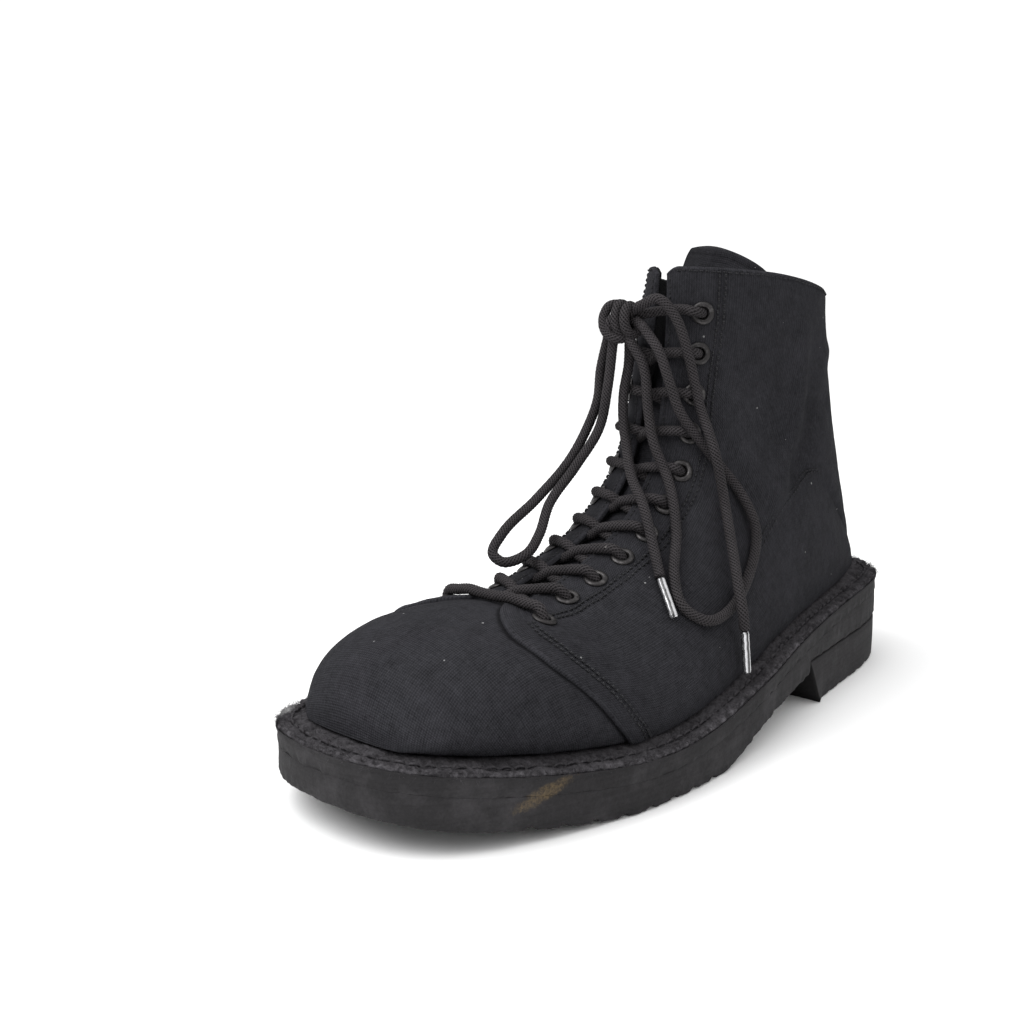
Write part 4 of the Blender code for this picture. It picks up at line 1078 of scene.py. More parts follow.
def finish_floor(name, colour):
    """Pale matte floor with a faint cloudiness."""
    made = start_finish(name)
    tree = made.tree
    cloud = noise(tree, made.place, 6.0, 3.0)
    base = blend_colour(tree, cloud, shade(colour, 0.985), shade(colour, 1.0))
    set_inputs(tree, made.shader, {"Base Color": base, "Roughness": 0.9, "Specular IOR Level": 0.1})
    return made.material


# Settings


def colour_setting(name, description, default):
    """A colour of three parts from 0 to 1."""
    return bpy.props.FloatVectorProperty(
        name=name, description=description, default=default, subtype="COLOR", size=3, min=0, max=1
    )


def power_setting(name, description, default):
    """The power of a light, in watts."""
    return bpy.props.FloatProperty(name=name, description=description, default=default, unit="POWER", min=0, max=200)


class BootClothLook(bpy.types.PropertyGroup):
    """Colours and size of the canvas and its stitching."""

    canvas: colour_setting("Canvas", "Colour of the canvas", (0.0252, 0.025, 0.0285))
    lining: colour_setting("Lining", "Colour of the lining", (0.012, 0.012, 0.0128))
    thread: colour_setting("Thread", "Colour of the stitching", (0.019, 0.019, 0.0208))
    thickness: bpy.props.FloatProperty(
        name="Thickness",
        description="Height of the canvas panels over the frame",
        default=0.00135,
        unit="LENGTH",
        min=0.0005,
        max=0.003,
    )


class BootLaceLook(bpy.types.PropertyGroup):
    """Colours of the lace, its tips and the eyelets."""

    cord: colour_setting("Cord", "Colour of the braided lace", (0.021, 0.019, 0.0202))
    tip: colour_setting("Tip", "Colour of the film on the lace tips", (0.36, 0.36, 0.37))
    enamel: colour_setting("Enamel", "Colour of the eyelets and the zip", (0.03, 0.028, 0.0285))


class BootSoleLook(bpy.types.PropertyGroup):
    """Colours of the welt and the sole."""

    rubber: colour_setting("Rubber", "Colour of the sole", (0.017, 0.016, 0.0172))
    scuff: colour_setting("Scuff", "Colour of the rubbed patch", (0.13, 0.092, 0.045))
    nap: colour_setting("Nap", "Colour of the welt strip", (0.038, 0.036, 0.039))


class BootStageLook(bpy.types.PropertyGroup):
    """Floor and light of the stage."""

    floor: colour_setting("Floor", "Colour of the floor", (0.96, 0.96, 0.96))
    key: power_setting("Key light", "Power of the main light", 17.0)
    fill: power_setting("Fill light", "Power of the side light", 1.5)
    sky: bpy.props.FloatProperty(
        name="Sky", description="Strength of the soft light from above", default=1.07, min=0, max=5
    )


# Operators


class BOOT_OT_stage(bpy.types.Operator):
    """Builds the floor, the soft lights and the camera"""

    bl_idname = "boot.stage"
    bl_label = "Stage"

    azimuth, elevation, distance, aim_height = 37.145, 10.773, 469.592, 80  # degrees and mm
    pan, tilt, focal, width = 128.836, -2.818, 1249.407, 1024  # pixels
    roll = 0.928  # degrees
    sensor, reach, camera_sky = 36.0, 4.0, 1.12
    sky_low, sky_high = 0.24, 1.4

    def camera_matrix(self):
        """Camera frame from its direction round the boot, then a turn sideways, a turn up and a roll."""
        a, e = math.radians(self.azimuth), math.radians(self.elevation)
        back = np.array([math.sin(a) * math.cos(e), -math.cos(a) * math.cos(e), math.sin(e)])
        forward = -back
        right = unit(np.cross(forward, (0, 0, 1)))
        up = np.cross(right, forward)
        t = math.atan(self.pan / self.focal)
        forward, right = forward * math.cos(t) - right * math.sin(t), right * math.cos(t) + forward * math.sin(t)
        t = math.atan(self.tilt / self.focal)
        forward, up = forward * math.cos(t) + up * math.sin(t), up * math.cos(t) - forward * math.sin(t)
        r = math.radians(self.roll)
        right, up = math.cos(r) * right + math.sin(r) * up, math.cos(r) * up - math.sin(r) * right
        matrix = np.eye(4)
        place = (back * self.distance + (0, 0, self.aim_height)) * MM
        matrix[:3] = np.stack([right, up, -forward, place], axis=-1)
        return Matrix(matrix.tolist())

    def add_light(self, scene, name, power, size, place, aim):
        """A square soft light at a place, turned towards its aim."""
        light = bpy.data.lights.new(name, "AREA")
        light.energy, light.size = power, size
        lamp = bpy.data.objects.new(name, light)
        towards = unit(np.subtract(aim, place))
        right = unit(np.cross(towards, (0, 0, 1)))
        matrix = np.eye(4)
        matrix[:3] = np.stack([right, np.cross(right, towards), -towards, place], axis=-1)
        lamp.matrix_world = Matrix(matrix.tolist())
        scene.collection.objects.link(lamp)

    def sky_light(self, sky):
        """White light that grows from the horizon up, over an even white background for the camera."""
        world_light = bpy.data.worlds.new("studio")
        world_light.use_nodes = True
        tree = world_light.node_tree
        toward = add_node(tree, "ShaderNodeTexCoord").outputs["Generated"]
        height = add_node(tree, "ShaderNodeSeparateXYZ", {0: toward}).outputs[2]
        glow = map_range(tree, height, 0.0, 1.0, self.sky_low * sky, self.sky_high * sky)
        seen = add_node(tree, "ShaderNodeLightPath").outputs["Is Camera Ray"]
        strength = add_node(tree, "ShaderNodeMix", {0: seen, 2: glow, 3: self.camera_sky}).outputs[0]
        set_inputs(tree, tree.nodes["Background"], {"Strength": strength, "Color": (1, 1, 1, 1)})
        return world_light

    def execute(self, context):
        scene, look = context.scene, context.scene.boot_stage
        camera = bpy.data.cameras.new("photo_camera")
        camera.sensor_width, camera.lens = self.sensor, self.sensor * self.focal / self.width
        camera.clip_start = 0.01
        holder = bpy.data.objects.new("photo_camera", camera)
        holder.matrix_world = self.camera_matrix()
        scene.collection.objects.link(holder)
        scene.camera = holder
        self.add_light(scene, "key_light", look.key, size=1.1, place=(-0.35, -0.85, 1.15), aim=(0, 0, 0.06))
        self.add_light(scene, "side_light", look.fill, size=1.0, place=(1.25, -0.15, 0.75), aim=(0, 0, 0.07))
        scene.world = self.sky_light(look.sky)
        scene.view_settings.view_transform = "Standard"
        mesh = bpy.data.meshes.new("floor")
        corners = [(x * self.reach, y * self.reach, 0) for x, y in ((-1, -1), (1, -1), (1, 1), (-1, 1))]
        mesh.from_pydata(corners, [], [(0, 1, 2, 3)])
        mesh.materials.append(finish_floor("pale_floor", look.floor))
        floor = bpy.data.objects.new("floor", mesh)
        scene.collection.objects.link(floor)
        return {"FINISHED"}


class BOOT_OT_bow(bpy.types.Operator):
    """Builds the bow: two loops, two ends with their tips, and the wraps of the knot"""

    bl_idname = "boot.bow"
    bl_label = "Bow"

    step = 0.5
    front_strand = (
        (-3.2, 1.5, 5.2), (-4.6, -3.6, 4.4), (-5.0, -6.4, 0.0), (-2.8, -7.6, -4.6), (1.6, -6.6, -7.0),
        (4.1, -2.0, -6.4),
    )  # fmt: skip

    def knot_paths(self):
        """A coil of two and a half turns round the X axis, wider at its inner end, a strand over it, and cord ends."""
        t = np.linspace(0, 1, 240)
        angle = 2 * np.pi * (2.55 * t + 0.42)
        tuck = np.clip(np.minimum(t, 1 - t) / 0.07, 0, 1) ** 0.7 * (1.16 - 0.26 * t)
        coil = spread(-2.8 + 9.6 * t, -2.4 + tuck * 4.6 * np.cos(angle), -0.6 + tuck * 5.4 * np.sin(angle))
        paths = [coil + KNOT_CENTRE, along_route(np.array(self.front_strand) + KNOT_CENTRE, self.step)]
        for route in (MEDIAL_LOOP, MEDIAL_LOOP[::-1], LATERAL_LOOP, LATERAL_LOOP[::-1], END_1, END_2):
            outside, end = along_route(route, self.step)[3], np.array(route[0], float)
            middle = end + (end - outside) * 1.6
            paths.append(along_route([outside, end, (middle + KNOT_CENTRE) / 2, KNOT_CENTRE], self.step))
        return paths

    def crimped(self, angle, along):
        """Radius of a lace tip: crimped round and along, and drawn in at both ends."""
        uneven = 0.015 * np.sin(along * 2.1 + 2 * np.sin(angle)) + 0.03 * np.sin(3 * angle)
        close = np.minimum(along, along[-1] - along)
        return AGLET_RADIUS * (1.02 + uneven) * np.clip(0.75 + close / 2.0, 0, 1)

    def execute(self, context):
        look = context.scene.boot_lace
        braided = finish_lace("braided_lace", look.cord)
        film = finish_aglet("shiny_film", look.tip)
        tips = {}
        for number, route, tip in ((1, END_1, AGLET_1_TIP), (2, END_2, AGLET_2_TIP)):
            start, end = np.asarray(route[-1], float), np.asarray(tip, float)
            path = resample(np.stack([start + unit(end - start) * AGLET_GAP, end]), 0.4)
            shape = tube(path, self.crimped, 20)
            tips[number] = make_piece(f"lace_tip_{number}", [shape], film, replaces=[f"aglet_{number}"])
        cords = (
            ("loop_medial_cord", "lace_loop_medial", MEDIAL_LOOP, "knot", ()),
            ("loop_lateral_cord", "lace_loop_lateral", LATERAL_LOOP, "knot", ()),
            ("end_1_cord", "lace_end_1", END_1, "fitting", (tips[1],)),
            ("end_2_cord", "lace_end_2", END_2, "fitting", (tips[2],)),
        )
        for name, node, route, far_end, pieces in cords:
            path = along_route(route, LACE_STEP)
            cord = make_piece(name, [tube(path, braid, LACE_SIDES)], braided, replaces=[node])
        wraps = [tube(resample(path, LACE_STEP), braid, LACE_SIDES) for path in self.knot_paths()]
        make_piece("knot_wraps", wraps, braided, replaces=["lace_knot"])
        return {"FINISHED"}


class BOOT_OT_lacing(bpy.types.Operator):
    """Builds the lace strands that cross the throat from eyelet to eyelet"""

    bl_idname = "boot.lacing"
    bl_label = "Lacing"

    rise_across, rise_lift = np.array([0.5, -0.6, -2.9]), np.array([-0.9, 1.8, 4.1])  # up through an eyelet
    tuck = 4.5  # how far a strand runs in under the other facing

    def strand(self, row, far_row, side, upper_most):
        """From inside an eyelet, over its rim and the facing, down across the tongue, and under the other facing."""
        gap, hole = throat(row), EYELET_ACROSS[-1]
        over = [gap + 3.2, gap - 0.5, 0.0, -gap + 0.5, -gap - self.tuck]
        across = np.concatenate([hole + self.rise_across, over])
        lift = np.concatenate([self.rise_lift, [3.5, 2.6, 1.5 if upper_most else -0.4, -0.7, -0.9]])
        share = (hole - across) / (hole + gap + self.tuck)
        rows = row + (far_row - row) * np.clip(share, 0, 1)
        return along_route(raised(rows, side * across, lift), LACE_STEP)

    def bar(self, row):
        """The lowest strand, straight over both facings and down into both eyelets."""
        hole = EYELET_ACROSS[0]
        half_across = np.concatenate([hole + self.rise_across, [15.0, 9.0, 4.0]])
        half_lift = np.concatenate([self.rise_lift, [3.6, 3.4, 2.6]])
        across = np.concatenate([half_across, [0.0], -half_across[::-1]])
        lift = np.concatenate([half_lift, [2.4], half_lift[::-1]])
        return along_route(raised(np.full(len(across), row), across, lift), LACE_STEP)

    def to_knot(self, side):
        """From the highest eyelet over the facing to the knot."""
        row, hole = EYELET_ROWS[-1], EYELET_ACROSS[-1]
        across = np.concatenate([hole + self.rise_across, [hole - 6.5]])
        start = raised(np.full(4, row), side * across, np.concatenate([self.rise_lift, [3.6]]))
        into_knot = np.array(KNOT_CENTRE) + (side * 5.0, 1.0, 1.5)
        return along_route(np.concatenate([start, [into_knot]]), LACE_STEP)

    def execute(self, context):
        paths = [self.bar(EYELET_ROWS[0])]
        for below, row in zip(EYELET_ROWS[:-2], EYELET_ROWS[1:-1]):
            for side in (LATERAL, MEDIAL):
                paths.append(self.strand(row, (below + row) / 2, side, side == LATERAL))
        paths += [self.to_knot(LATERAL), self.to_knot(MEDIAL)]
        strands = [tube(path, braid, ROW_SIDES) for path in paths]
        nodes = [f"lace_row_{k:02d}" for k in EYELET_NUMBERS]
        make_piece("lacing", strands, bpy.data.materials["braided_lace"], replaces=nodes)
        return {"FINISHED"}


class BOOT_OT_eyelets(bpy.types.Operator):
    """Builds the turned rings of the eyelets on both sides"""

    bl_idname = "boot.eyelets"
    bl_label = "Eyelets"

    worn = (0.11, 0.105, 0.105)  # colour where the enamel has rubbed off
    profile = (  # radius, height
        (2.1, -2.4), (2.5, -2.4), (2.6, -0.1), (3.9, 0.0), (4.2, 0.2), (4.2, 0.5), (3.95, 0.8), (3.5, 1.0), (3.0, 1.05),
        (2.5, 0.92), (2.2, 0.6), (2.1, 0.1),
    )  # fmt: skip

    def execute(self, context):
        lift = context.scene.boot_cloth.thickness / MM
        enamel = finish_metal("worn_enamel", context.scene.boot_lace.enamel, self.worn, metallic=0.75, rough=0.36)
        for word, side in SIDES.items():
            places, normals = eyelet_places(side)
            # The profile, set on the canvas and turned round each eyelet's normal
            rings = turned(places + normals * lift, normals, self.profile, 28)
            nodes = [f"eyelet_{word}_{k:02d}" for k in EYELET_NUMBERS]
            make_piece(f"eyelet_rings_{word}", [rings], enamel, replaces=nodes)
        return {"FINISHED"}


class BOOT_OT_vamp(bpy.types.Operator):
    """Builds the vamp over the toes"""

    bl_idname = "boot.vamp"
    bl_label = "Vamp"

    def execute(self, context):
        # The upper's face from the toe to the last row, lifted by ripples less a dent, with a quarter-round end
        down = spaced(225, 0.3)[:, None]
        share = np.linspace(-1, 1, 200)[None, :]
        rows = VAMP_END_ROW * down + 0 * share
        across = np.where(share >= 0, row_length(rows, LATERAL), row_length(rows, MEDIAL)) * share
        places = on_upper(rows, across)
        normals = upper_normal(rows, across)
        pucker = 0.12 * ripple(places, 18, SEED + 5) + 0.05 * ripple(places, 6, SEED + 6)
        dent = -0.9 * bell(rows, 4.2, 0.35) * bell(across, 12, 16)
        from_end = run(places)[-1] - run(places)
        lift = (pucker + dent) * np.clip(rows / 0.6, 0, 1)
        outer = lifted(places, normals, lift - 0.9 * (1 - rounding(from_end, 1.0)))
        inner = lifted(places, normals, lift - 1.5)
        uv = np.stack([across, run(places)], axis=-1)
        gap = throat(rows)
        seam_share = np.clip((np.abs(across) - gap) / (np.abs(across / share) - gap), 0, 1)
        # Painted shadow: a dark line on the vamp just ahead of the quarters' front edge, kept as a negative value of
        # the attribute, which the canvas finish darkens
        ahead = (table_curve(SEAM, seam_share) - rows) * ROW_SPAN
        painted_seam_shadow = -bell(ahead, 0.5, 0.9) * (rows > 3.5)
        canvas = finish_canvas("heavy_canvas", context.scene.boot_cloth.canvas)
        make_piece("vamp", [sheet(outer, inner, uv, painted_seam_shadow)], canvas, replaces=["upper"])
        return {"FINISHED"}


class BOOT_OT_quarters(bpy.types.Operator):
    """Builds the quarters: one panel on the outer side, two beside the zip on the inner side, and the back strip"""

    bl_idname = "boot.quarters"
    bl_label = "Quarters"

    strip_half = 6

    def back_strip(self, thick):
        """A narrow strip up the back seam, rounded at both edges."""
        offset = np.linspace(-self.strip_half, self.strip_half, 41)[None, :]
        last = collar_row(row_length(COLLAR_ROW, LATERAL) + 0 * offset, LATERAL)
        rows = HEEL_ROW + 0.15 + (last - HEEL_ROW - 0.15) * np.linspace(0, 1, 110)[:, None]
        across = np.where(offset >= 0, row_length(rows, LATERAL) - offset, -(row_length(rows, MEDIAL) + offset))
        places = on_upper(rows + 0 * offset, across)
        inner_side = np.where(offset >= 0, across - 0.9, across + 0.9)
        normals = upper_normal(rows + 0 * offset, inner_side)
        folds = np.where(offset >= 0, fold_height(places, LATERAL), fold_height(places, MEDIAL))
        from_top = run(places)[-1] - run(places)
        folds *= np.clip(from_top / FOLD_FADE, 0, 1)
        edge = np.minimum(self.strip_half - np.abs(offset), from_top)
        high = thick + 0.5 * rounding(edge, 0.8) + 0.05 * ripple(places, 8, SEED + 8)
        uv = spread(offset, run(places))
        wear = np.clip(1 - np.abs(edge - 0.5) / 0.8, 0, 1)
        return sheet(lifted(places, normals, high + folds), lifted(places, normals, 0.2 + folds), uv, wear)

    def execute(self, context):
        thick = context.scene.boot_cloth.thickness / MM
        canvas = bpy.data.materials["heavy_canvas"]

        # Edges of the panels: first rows by the share across, and near and far distances across by the row
        def seam(share):
            return table_curve(SEAM, share)

        def outer_end(rows):
            return row_length(rows, LATERAL)

        def inner_end(rows):
            return row_length(rows, MEDIAL)

        def zip_front(rows):
            return np.minimum(inner_end(rows), zip_across(rows) - zip_gap(rows))

        def zip_back(rows):
            return np.minimum(inner_end(rows), zip_across(rows) + zip_gap(rows))

        def zip_join(share):
            return ZIP_JOIN_ROW + 0 * share

        lateral = canvas_panel(LATERAL, throat, outer_end, seam, (230, 130), thick, seam_front=True)
        front = canvas_panel(MEDIAL, throat, zip_front, seam, (230, 90), thick, seam_front=True, folded_far=True)
        back = canvas_panel(MEDIAL, zip_back, inner_end, zip_join, (160, 70), thick)
        panels = {"quarter_lateral": lateral, "quarter_medial_front": front, "quarter_medial_back": back}
        for name, made in (*panels.items(), ("back_strip", self.back_strip(thick))):
            make_piece(name, [made], canvas)
        return {"FINISHED"}


class BOOT_OT_lining(bpy.types.Operator):
    """Builds the lining inside both sides of the upper"""

    bl_idname = "boot.lining"
    bl_label = "Lining"

    set_back = 0.5  # from the facing's edge

    def execute(self, context):
        # Two faces at equal heights about a middle under the upper's face, which close in a quarter round
        cloth = finish_canvas("lining_cloth", context.scene.boot_cloth.lining, threads=190.0)
        for word, side in SIDES.items():

            def near(rows):
                return throat(rows) + self.set_back

            def far(rows):
                return row_length(rows, side)

            def lowest(share):
                return LINING_ROW + 0 * share

            rows, across, places = panel_places(side, near, far, lowest, (150, 90), short=0.04)
            normals = upper_normal(rows, side * across)
            from_front = run(places)
            edge = np.minimum(from_front, from_front[-1] - from_front)
            edge = np.minimum(edge, across - throat(rows) - self.set_back)
            folds = fold_height(places, side) * np.clip(edge / FOLD_FADE, 0, 1)
            pit = eyelet_pit(places, side)
            middle = -0.95 + folds - 1.4 * pit
            half = 0.65 * rounding(edge, 0.8)
            uv = np.stack([across, from_front], axis=-1)
            lining = sheet(lifted(places, normals, middle + half), lifted(places, normals, middle - half), uv)
            make_piece(f"lining_{word}", [lining], cloth)
        return {"FINISHED"}


class BOOT_OT_tongue(bpy.types.Operator):
    """Builds the tongue under the lacing"""

    bl_idname = "boot.tongue"
    bl_label = "Tongue"

    def execute(self, context):
        # A strip under the front line with a slanted top. Higher up, its inner half mirrors its outer one, and it
        # leans back by the 1.5 power of the way up. Its two faces close in a quarter round.
        down = spaced(170, 0.85)[:, None]
        share = (2 * spaced(101, 0.85) - 1)[None, :]
        slope = np.clip((share + 0.5) / 1.5, 0, 1)
        last = TONGUE_ROWS[1] - 1.0 * slope**2.6
        rows = TONGUE_ROWS[0] + (last - TONGUE_ROWS[0]) * down
        top = np.clip((rows - 19.6) / 1.25, 0, 1)
        half = TONGUE_HALF * np.sqrt(1 - 0.5 * top**3)
        across = half * share
        mirrored = np.clip((rows - 12) / 3, 0, 1)[..., None] * (across < 0)[..., None]
        other, other_normals = on_upper(rows, np.abs(across)), upper_normal(rows, np.abs(across))
        other[..., 0] = 2 * on_upper(rows, 0 * across)[..., 0] - other[..., 0]
        normals = unit(upper_normal(rows, across) * (1 - mirrored) + other_normals * (-1, 1, 1) * mirrored)
        lean = TONGUE_LEAN * np.clip((rows - TONGUE_LEAN_ROW) / (TONGUE_ROWS[1] - TONGUE_LEAN_ROW), 0, 1) ** 1.5
        places = on_upper(rows, across) * (1 - mirrored) + other * mirrored
        places = places + lean[..., None] * np.array([0.0, 1.0, 0.0])
        along = run(places)
        edge = np.minimum(half - np.abs(across), along[-1] - along)
        soft = 0.3 * ripple(places, 20, SEED + 11) + 0.08 * ripple(places, 6, SEED + 12)
        dip = 1.6 * groove(edge, 4.0) + 0.9 * groove(edge, 6.2)
        thick = TONGUE_THICK / 2 * rounding(edge, 1.6)
        middle = -TONGUE_DEPTH - TONGUE_THICK / 2 + soft * np.clip(edge / 6, 0, 1)
        outer, inner = lifted(places, normals, middle + thick + dip), lifted(places, normals, middle - thick)
        uv = np.stack([across, along], axis=-1)
        wear = np.maximum(np.clip(1 - edge / 1.6, 0, 1), 0.9 * np.clip((13 - rows) / 3, 0, 1))
        canvas = finish_canvas("tongue_canvas", np.array(context.scene.boot_cloth.canvas) * 0.72)
        make_piece("tongue_cloth", [sheet(outer, inner, uv, wear)], canvas, replaces=["tongue"])
        return {"FINISHED"}


class BOOT_OT_zip(bpy.types.Operator):
    """Builds the side zip: tape, teeth, slider and wire pull"""

    bl_idname = "boot.zip"
    bl_label = "Zip"

    worn = (0.3, 0.29, 0.28)  # colour where the plating has rubbed off
    plate_lift = 3.2
    bridge = ((-2.9, 3.4), (-3.1, 5.6), (-2.2, 7.1), (0, 7.45), (2.2, 7.1), (3.1, 5.6), (2.9, 3.4))  # along, height

    def tape(self):
        """A thin sheet along the zip's line, raised by a bell curve on each side of the teeth."""
        rows = np.linspace(ZIP_ROWS[0] - 0.3, ZIP_ROWS[1], 120)[:, None]
        offset = np.linspace(-ZIP_TAPE_HALF, ZIP_TAPE_HALF, 31)[None, :]
        across = -(zip_across(rows) + offset)
        rows = rows + 0 * offset
        normals = upper_normal(rows, across)
        places = on_upper(rows, across)
        ridge = 0.35 * bell(np.abs(offset), 2.3, 0.45) + 0 * rows
        uv = spread(offset, run(places))
        return sheet(places + normals * (0.05 + ridge)[..., None], places - normals * 0.12, uv)

    def teeth(self):
        """Rounded blocks in two rows that mesh along the zip's middle line."""
        fine = np.linspace(*ZIP_ROWS, 400)
        path = on_upper(fine, -zip_across(fine))
        lengths = run(path)
        spots = np.arange(2.0, lengths[-1] - 4, 0.85)
        rows = np.interp(spots, lengths, fine)
        side = np.where(np.arange(len(rows)) % 2 == 0, 1.0, -1.0)
        across = -zip_across(rows) + side * 0.75
        places, normals = raised(rows, across, np.full(len(rows), 0.55)), upper_normal(rows, across)
        upward = unit(on_upper(rows + 0.05, across) - on_upper(rows - 0.05, across))
        aside = np.cross(upward, normals)
        angle = np.linspace(0, 2 * np.pi, 9)[:-1]
        level = np.array([-0.55, -0.55, 0.35, 0.6, 0.6])
        size = np.array([0.0, 1.0, 1.0, 0.75, 0.0])
        circle = np.stack([np.cos(angle), np.sin(angle)], axis=-1)
        squared = circle / np.max(np.abs(circle), axis=1)[:, None] ** 0.7
        flat = aside[:, None] * squared[:, 0, None] * 1.25 + upward[:, None] * squared[:, 1, None] * 0.62
        size, level = size[:, None, None], level[:, None, None]
        grid = places[:, None, None] + flat[:, None] * size + normals[:, None, None] * level
        uv = spread(np.arange(9.0)[None], np.arange(5.0)[:, None])
        return patch(grid, uv)

    def slider_axes(self):
        """The slider's place on the zip's line, and its unit directions across, up the zip and outward."""
        row = np.array([SLIDER_ROW])
        across = -zip_across(row)
        origin, outwards = on_upper(row, across)[0], upper_normal(row, across)[0]
        upward = (on_upper(row + 0.1, across) - on_upper(row - 0.1, across))[0]
        upward = unit(upward - outwards * (upward @ outwards))
        return origin, np.array([np.cross(upward, outwards), upward, outwards])

    def slider(self, origin, axes):
        """A plate drawn in at its waist, with rounded faces, and an arched bridge over it."""
        along = np.array([-5.5, -5.4, -4.6, -3, -1, 1.5, 3.2, 4.4, 4.95, 5.0])
        half = np.array([0.0, 2.3, 3.2, 3.5, 3.6, 3.5, 3.0, 2.4, 1.6, 0.0])
        high = np.array([0.0, 0.55, 0.85, 0.95, 0.95, 0.95, 0.9, 0.8, 0.5, 0.0])
        angle = np.linspace(0, 2 * np.pi, 25)
        cosine, sine = np.cos(angle[:-1]), np.sin(angle[:-1])
        sideways, upward = np.sign(cosine) * np.abs(cosine) ** 0.5, np.sign(sine) * np.abs(sine) ** 0.6
        local = spread(half[:, None] * sideways, along[:, None], self.plate_lift + high[:, None] * upward)
        uv = spread(angle[None], along[:, None])
        bridge = along_route([(0, *place) for place in self.bridge], 0.4)

        def flat(angle, along):
            """Radius of the bridge, larger to its two sides by the size of the cosine."""
            return 0.5 + 0.3 * np.abs(np.cos(angle)) + 0 * along

        return [patch(origin + local @ axes, uv), tube(origin + bridge @ axes, flat, 12)]

    def pull(self, origin, axes):
        """A long narrow loop of wire that hangs through the slider's bridge."""
        top = [(0, 0), (PULL_TOP_HALF - 1, 0), (PULL_TOP_HALF, -1.4)]
        low = [(PULL_LOW_HALF, -PULL_LENGTH + 3), (PULL_LOW_HALF - 1.2, -PULL_LENGTH), (0, -PULL_LENGTH)]
        half = np.array(top + low, float)
        loop = np.concatenate([half, half[-2:0:-1] * (-1, 1), half[:1]])
        chords = run(np.concatenate([loop, np.zeros((len(loop), 1))], axis=1))
        places = np.linspace(0, chords[-1], 260)[:-1]
        flat = np.stack([np.interp(places, chords, loop[:, k]) for k in range(2)], axis=-1)
        for _ in range(6):
            flat = (np.roll(flat, 1, axis=0) + 2 * flat + np.roll(flat, -1, axis=0)) / 4
        tangent = unit(np.roll(flat, -1, axis=0) - np.roll(flat, 1, axis=0))
        normal = np.stack([tangent[:, 1], -tangent[:, 0]], axis=-1)
        angle = np.linspace(0, 2 * np.pi, 13)
        local = np.concatenate(
            [
                flat[:, None] + normal[:, None] * (PULL_WIRE * np.cos(angle[:-1]))[:, None],
                np.broadcast_to(PULL_LIFT + PULL_WIRE * np.sin(angle[:-1])[None, :, None], (len(flat), 12, 1)),
            ],
            axis=-1,
        )
        local = np.concatenate([local, local[:1]])
        uv = spread(angle[None] * PULL_WIRE, np.linspace(0, chords[-1], len(local))[:, None])
        return patch(origin + local @ axes, uv)

    def execute(self, context):
        look = context.scene.boot_lace
        tape_cloth = finish_canvas("zip_tape_cloth", context.scene.boot_cloth.lining, threads=220.0)
        dark = finish_metal("dark_plating", np.array(look.enamel) * 1.6, self.worn, metallic=0.85, rough=0.32)
        origin, axes = self.slider_axes()
        make_piece("zip_cloth", [self.tape()], tape_cloth, replaces=["zip_tape"])
        make_piece("zip_teeth", [self.teeth()], dark)
        make_piece("slider_body", self.slider(origin, axes), dark, replaces=["zip_slider"])
        pull = [self.pull(origin, axes)]
        make_piece("pull_loop", pull, dark, body="zip_pull", replaces=["zip_pull"])
        return {"FINISHED"}


class BOOT_OT_stitches(bpy.types.Operator):
    """Builds the stitch rows of the upper"""

    bl_idname = "boot.stitches"
    bl_label = "Stitches"

    def rows_of_side(self, side, lift):
        """Facing rows, seam rows, collar row and counter rows of one side."""
        made = []
        pair = (-DOUBLE_ROW / 2, DOUBLE_ROW / 2)
        rows = np.linspace(5.5, 19.75, 300)
        for d in pair:
            across = np.full(len(rows), FACING_STITCH + d)
            made.append(stitch_run(rows, side * across, lift + BOLD_LIFT, radius=BOLD_STITCH))
        share = np.linspace(0.24, 0.985, 160)
        for distance in (SEAM_STITCH, SEAM_STITCH + DOUBLE_ROW):
            seam_rows = table_curve(SEAM, share) + distance / ROW_SPAN
            across = throat(seam_rows) + (row_length(seam_rows, side) - throat(seam_rows)) * share
            made.append(stitch_run(seam_rows, side * across, lift + BOLD_LIFT, radius=BOLD_STITCH))
        limit = row_length(COLLAR_ROW, side) - 7
        if side == MEDIAL:
            limit = zip_across(COLLAR_ROW) - ZIP_HALF - 7
        across = np.linspace(throat(COLLAR_ROW) + 4, limit, 200)
        collar_span = np.interp(across, [0, limit], [8, 20])
        made.append(stitch_run(collar_row(across, side) - COLLAR_STITCH / collar_span, side * across, lift))
        rows = np.linspace(6.2, 19.5, 300)
        made.append(stitch_run(rows, side * (throat(rows) + 2.0), lift))
        counter_rows = np.linspace(COUNTER[0][0], COUNTER[-1][0], 120)
        counter = table_curve(COUNTER, counter_rows)
        made += [stitch_run(counter_rows, side * (counter + d), lift) for d in pair]
        return made

    def execute(self, context):
        look = context.scene.boot_cloth
        lift = look.thickness / MM - 0.1
        thread = finish_lace("sewing_thread", look.thread)
        made = self.rows_of_side(LATERAL, lift) + self.rows_of_side(MEDIAL, lift)
        rows = np.linspace(12.0, 19.6, 200)
        for distance in (-ZIP_STITCHES[0], -ZIP_STITCHES[1], ZIP_STITCHES[0]):
            edge = zip_across(rows) + math.copysign(ZIP_HALF, distance) + distance
            made.append(stitch_run(rows, -edge, lift))
        rows = np.linspace(HEEL_ROW + 0.4, 19.7, 200)
        for side in (LATERAL, MEDIAL):
            made.append(stitch_run(rows, side * (row_length(rows, side) - 4.4), lift + 0.35))
        make_piece("stitch_rows", made, thread)
        return {"FINISHED"}


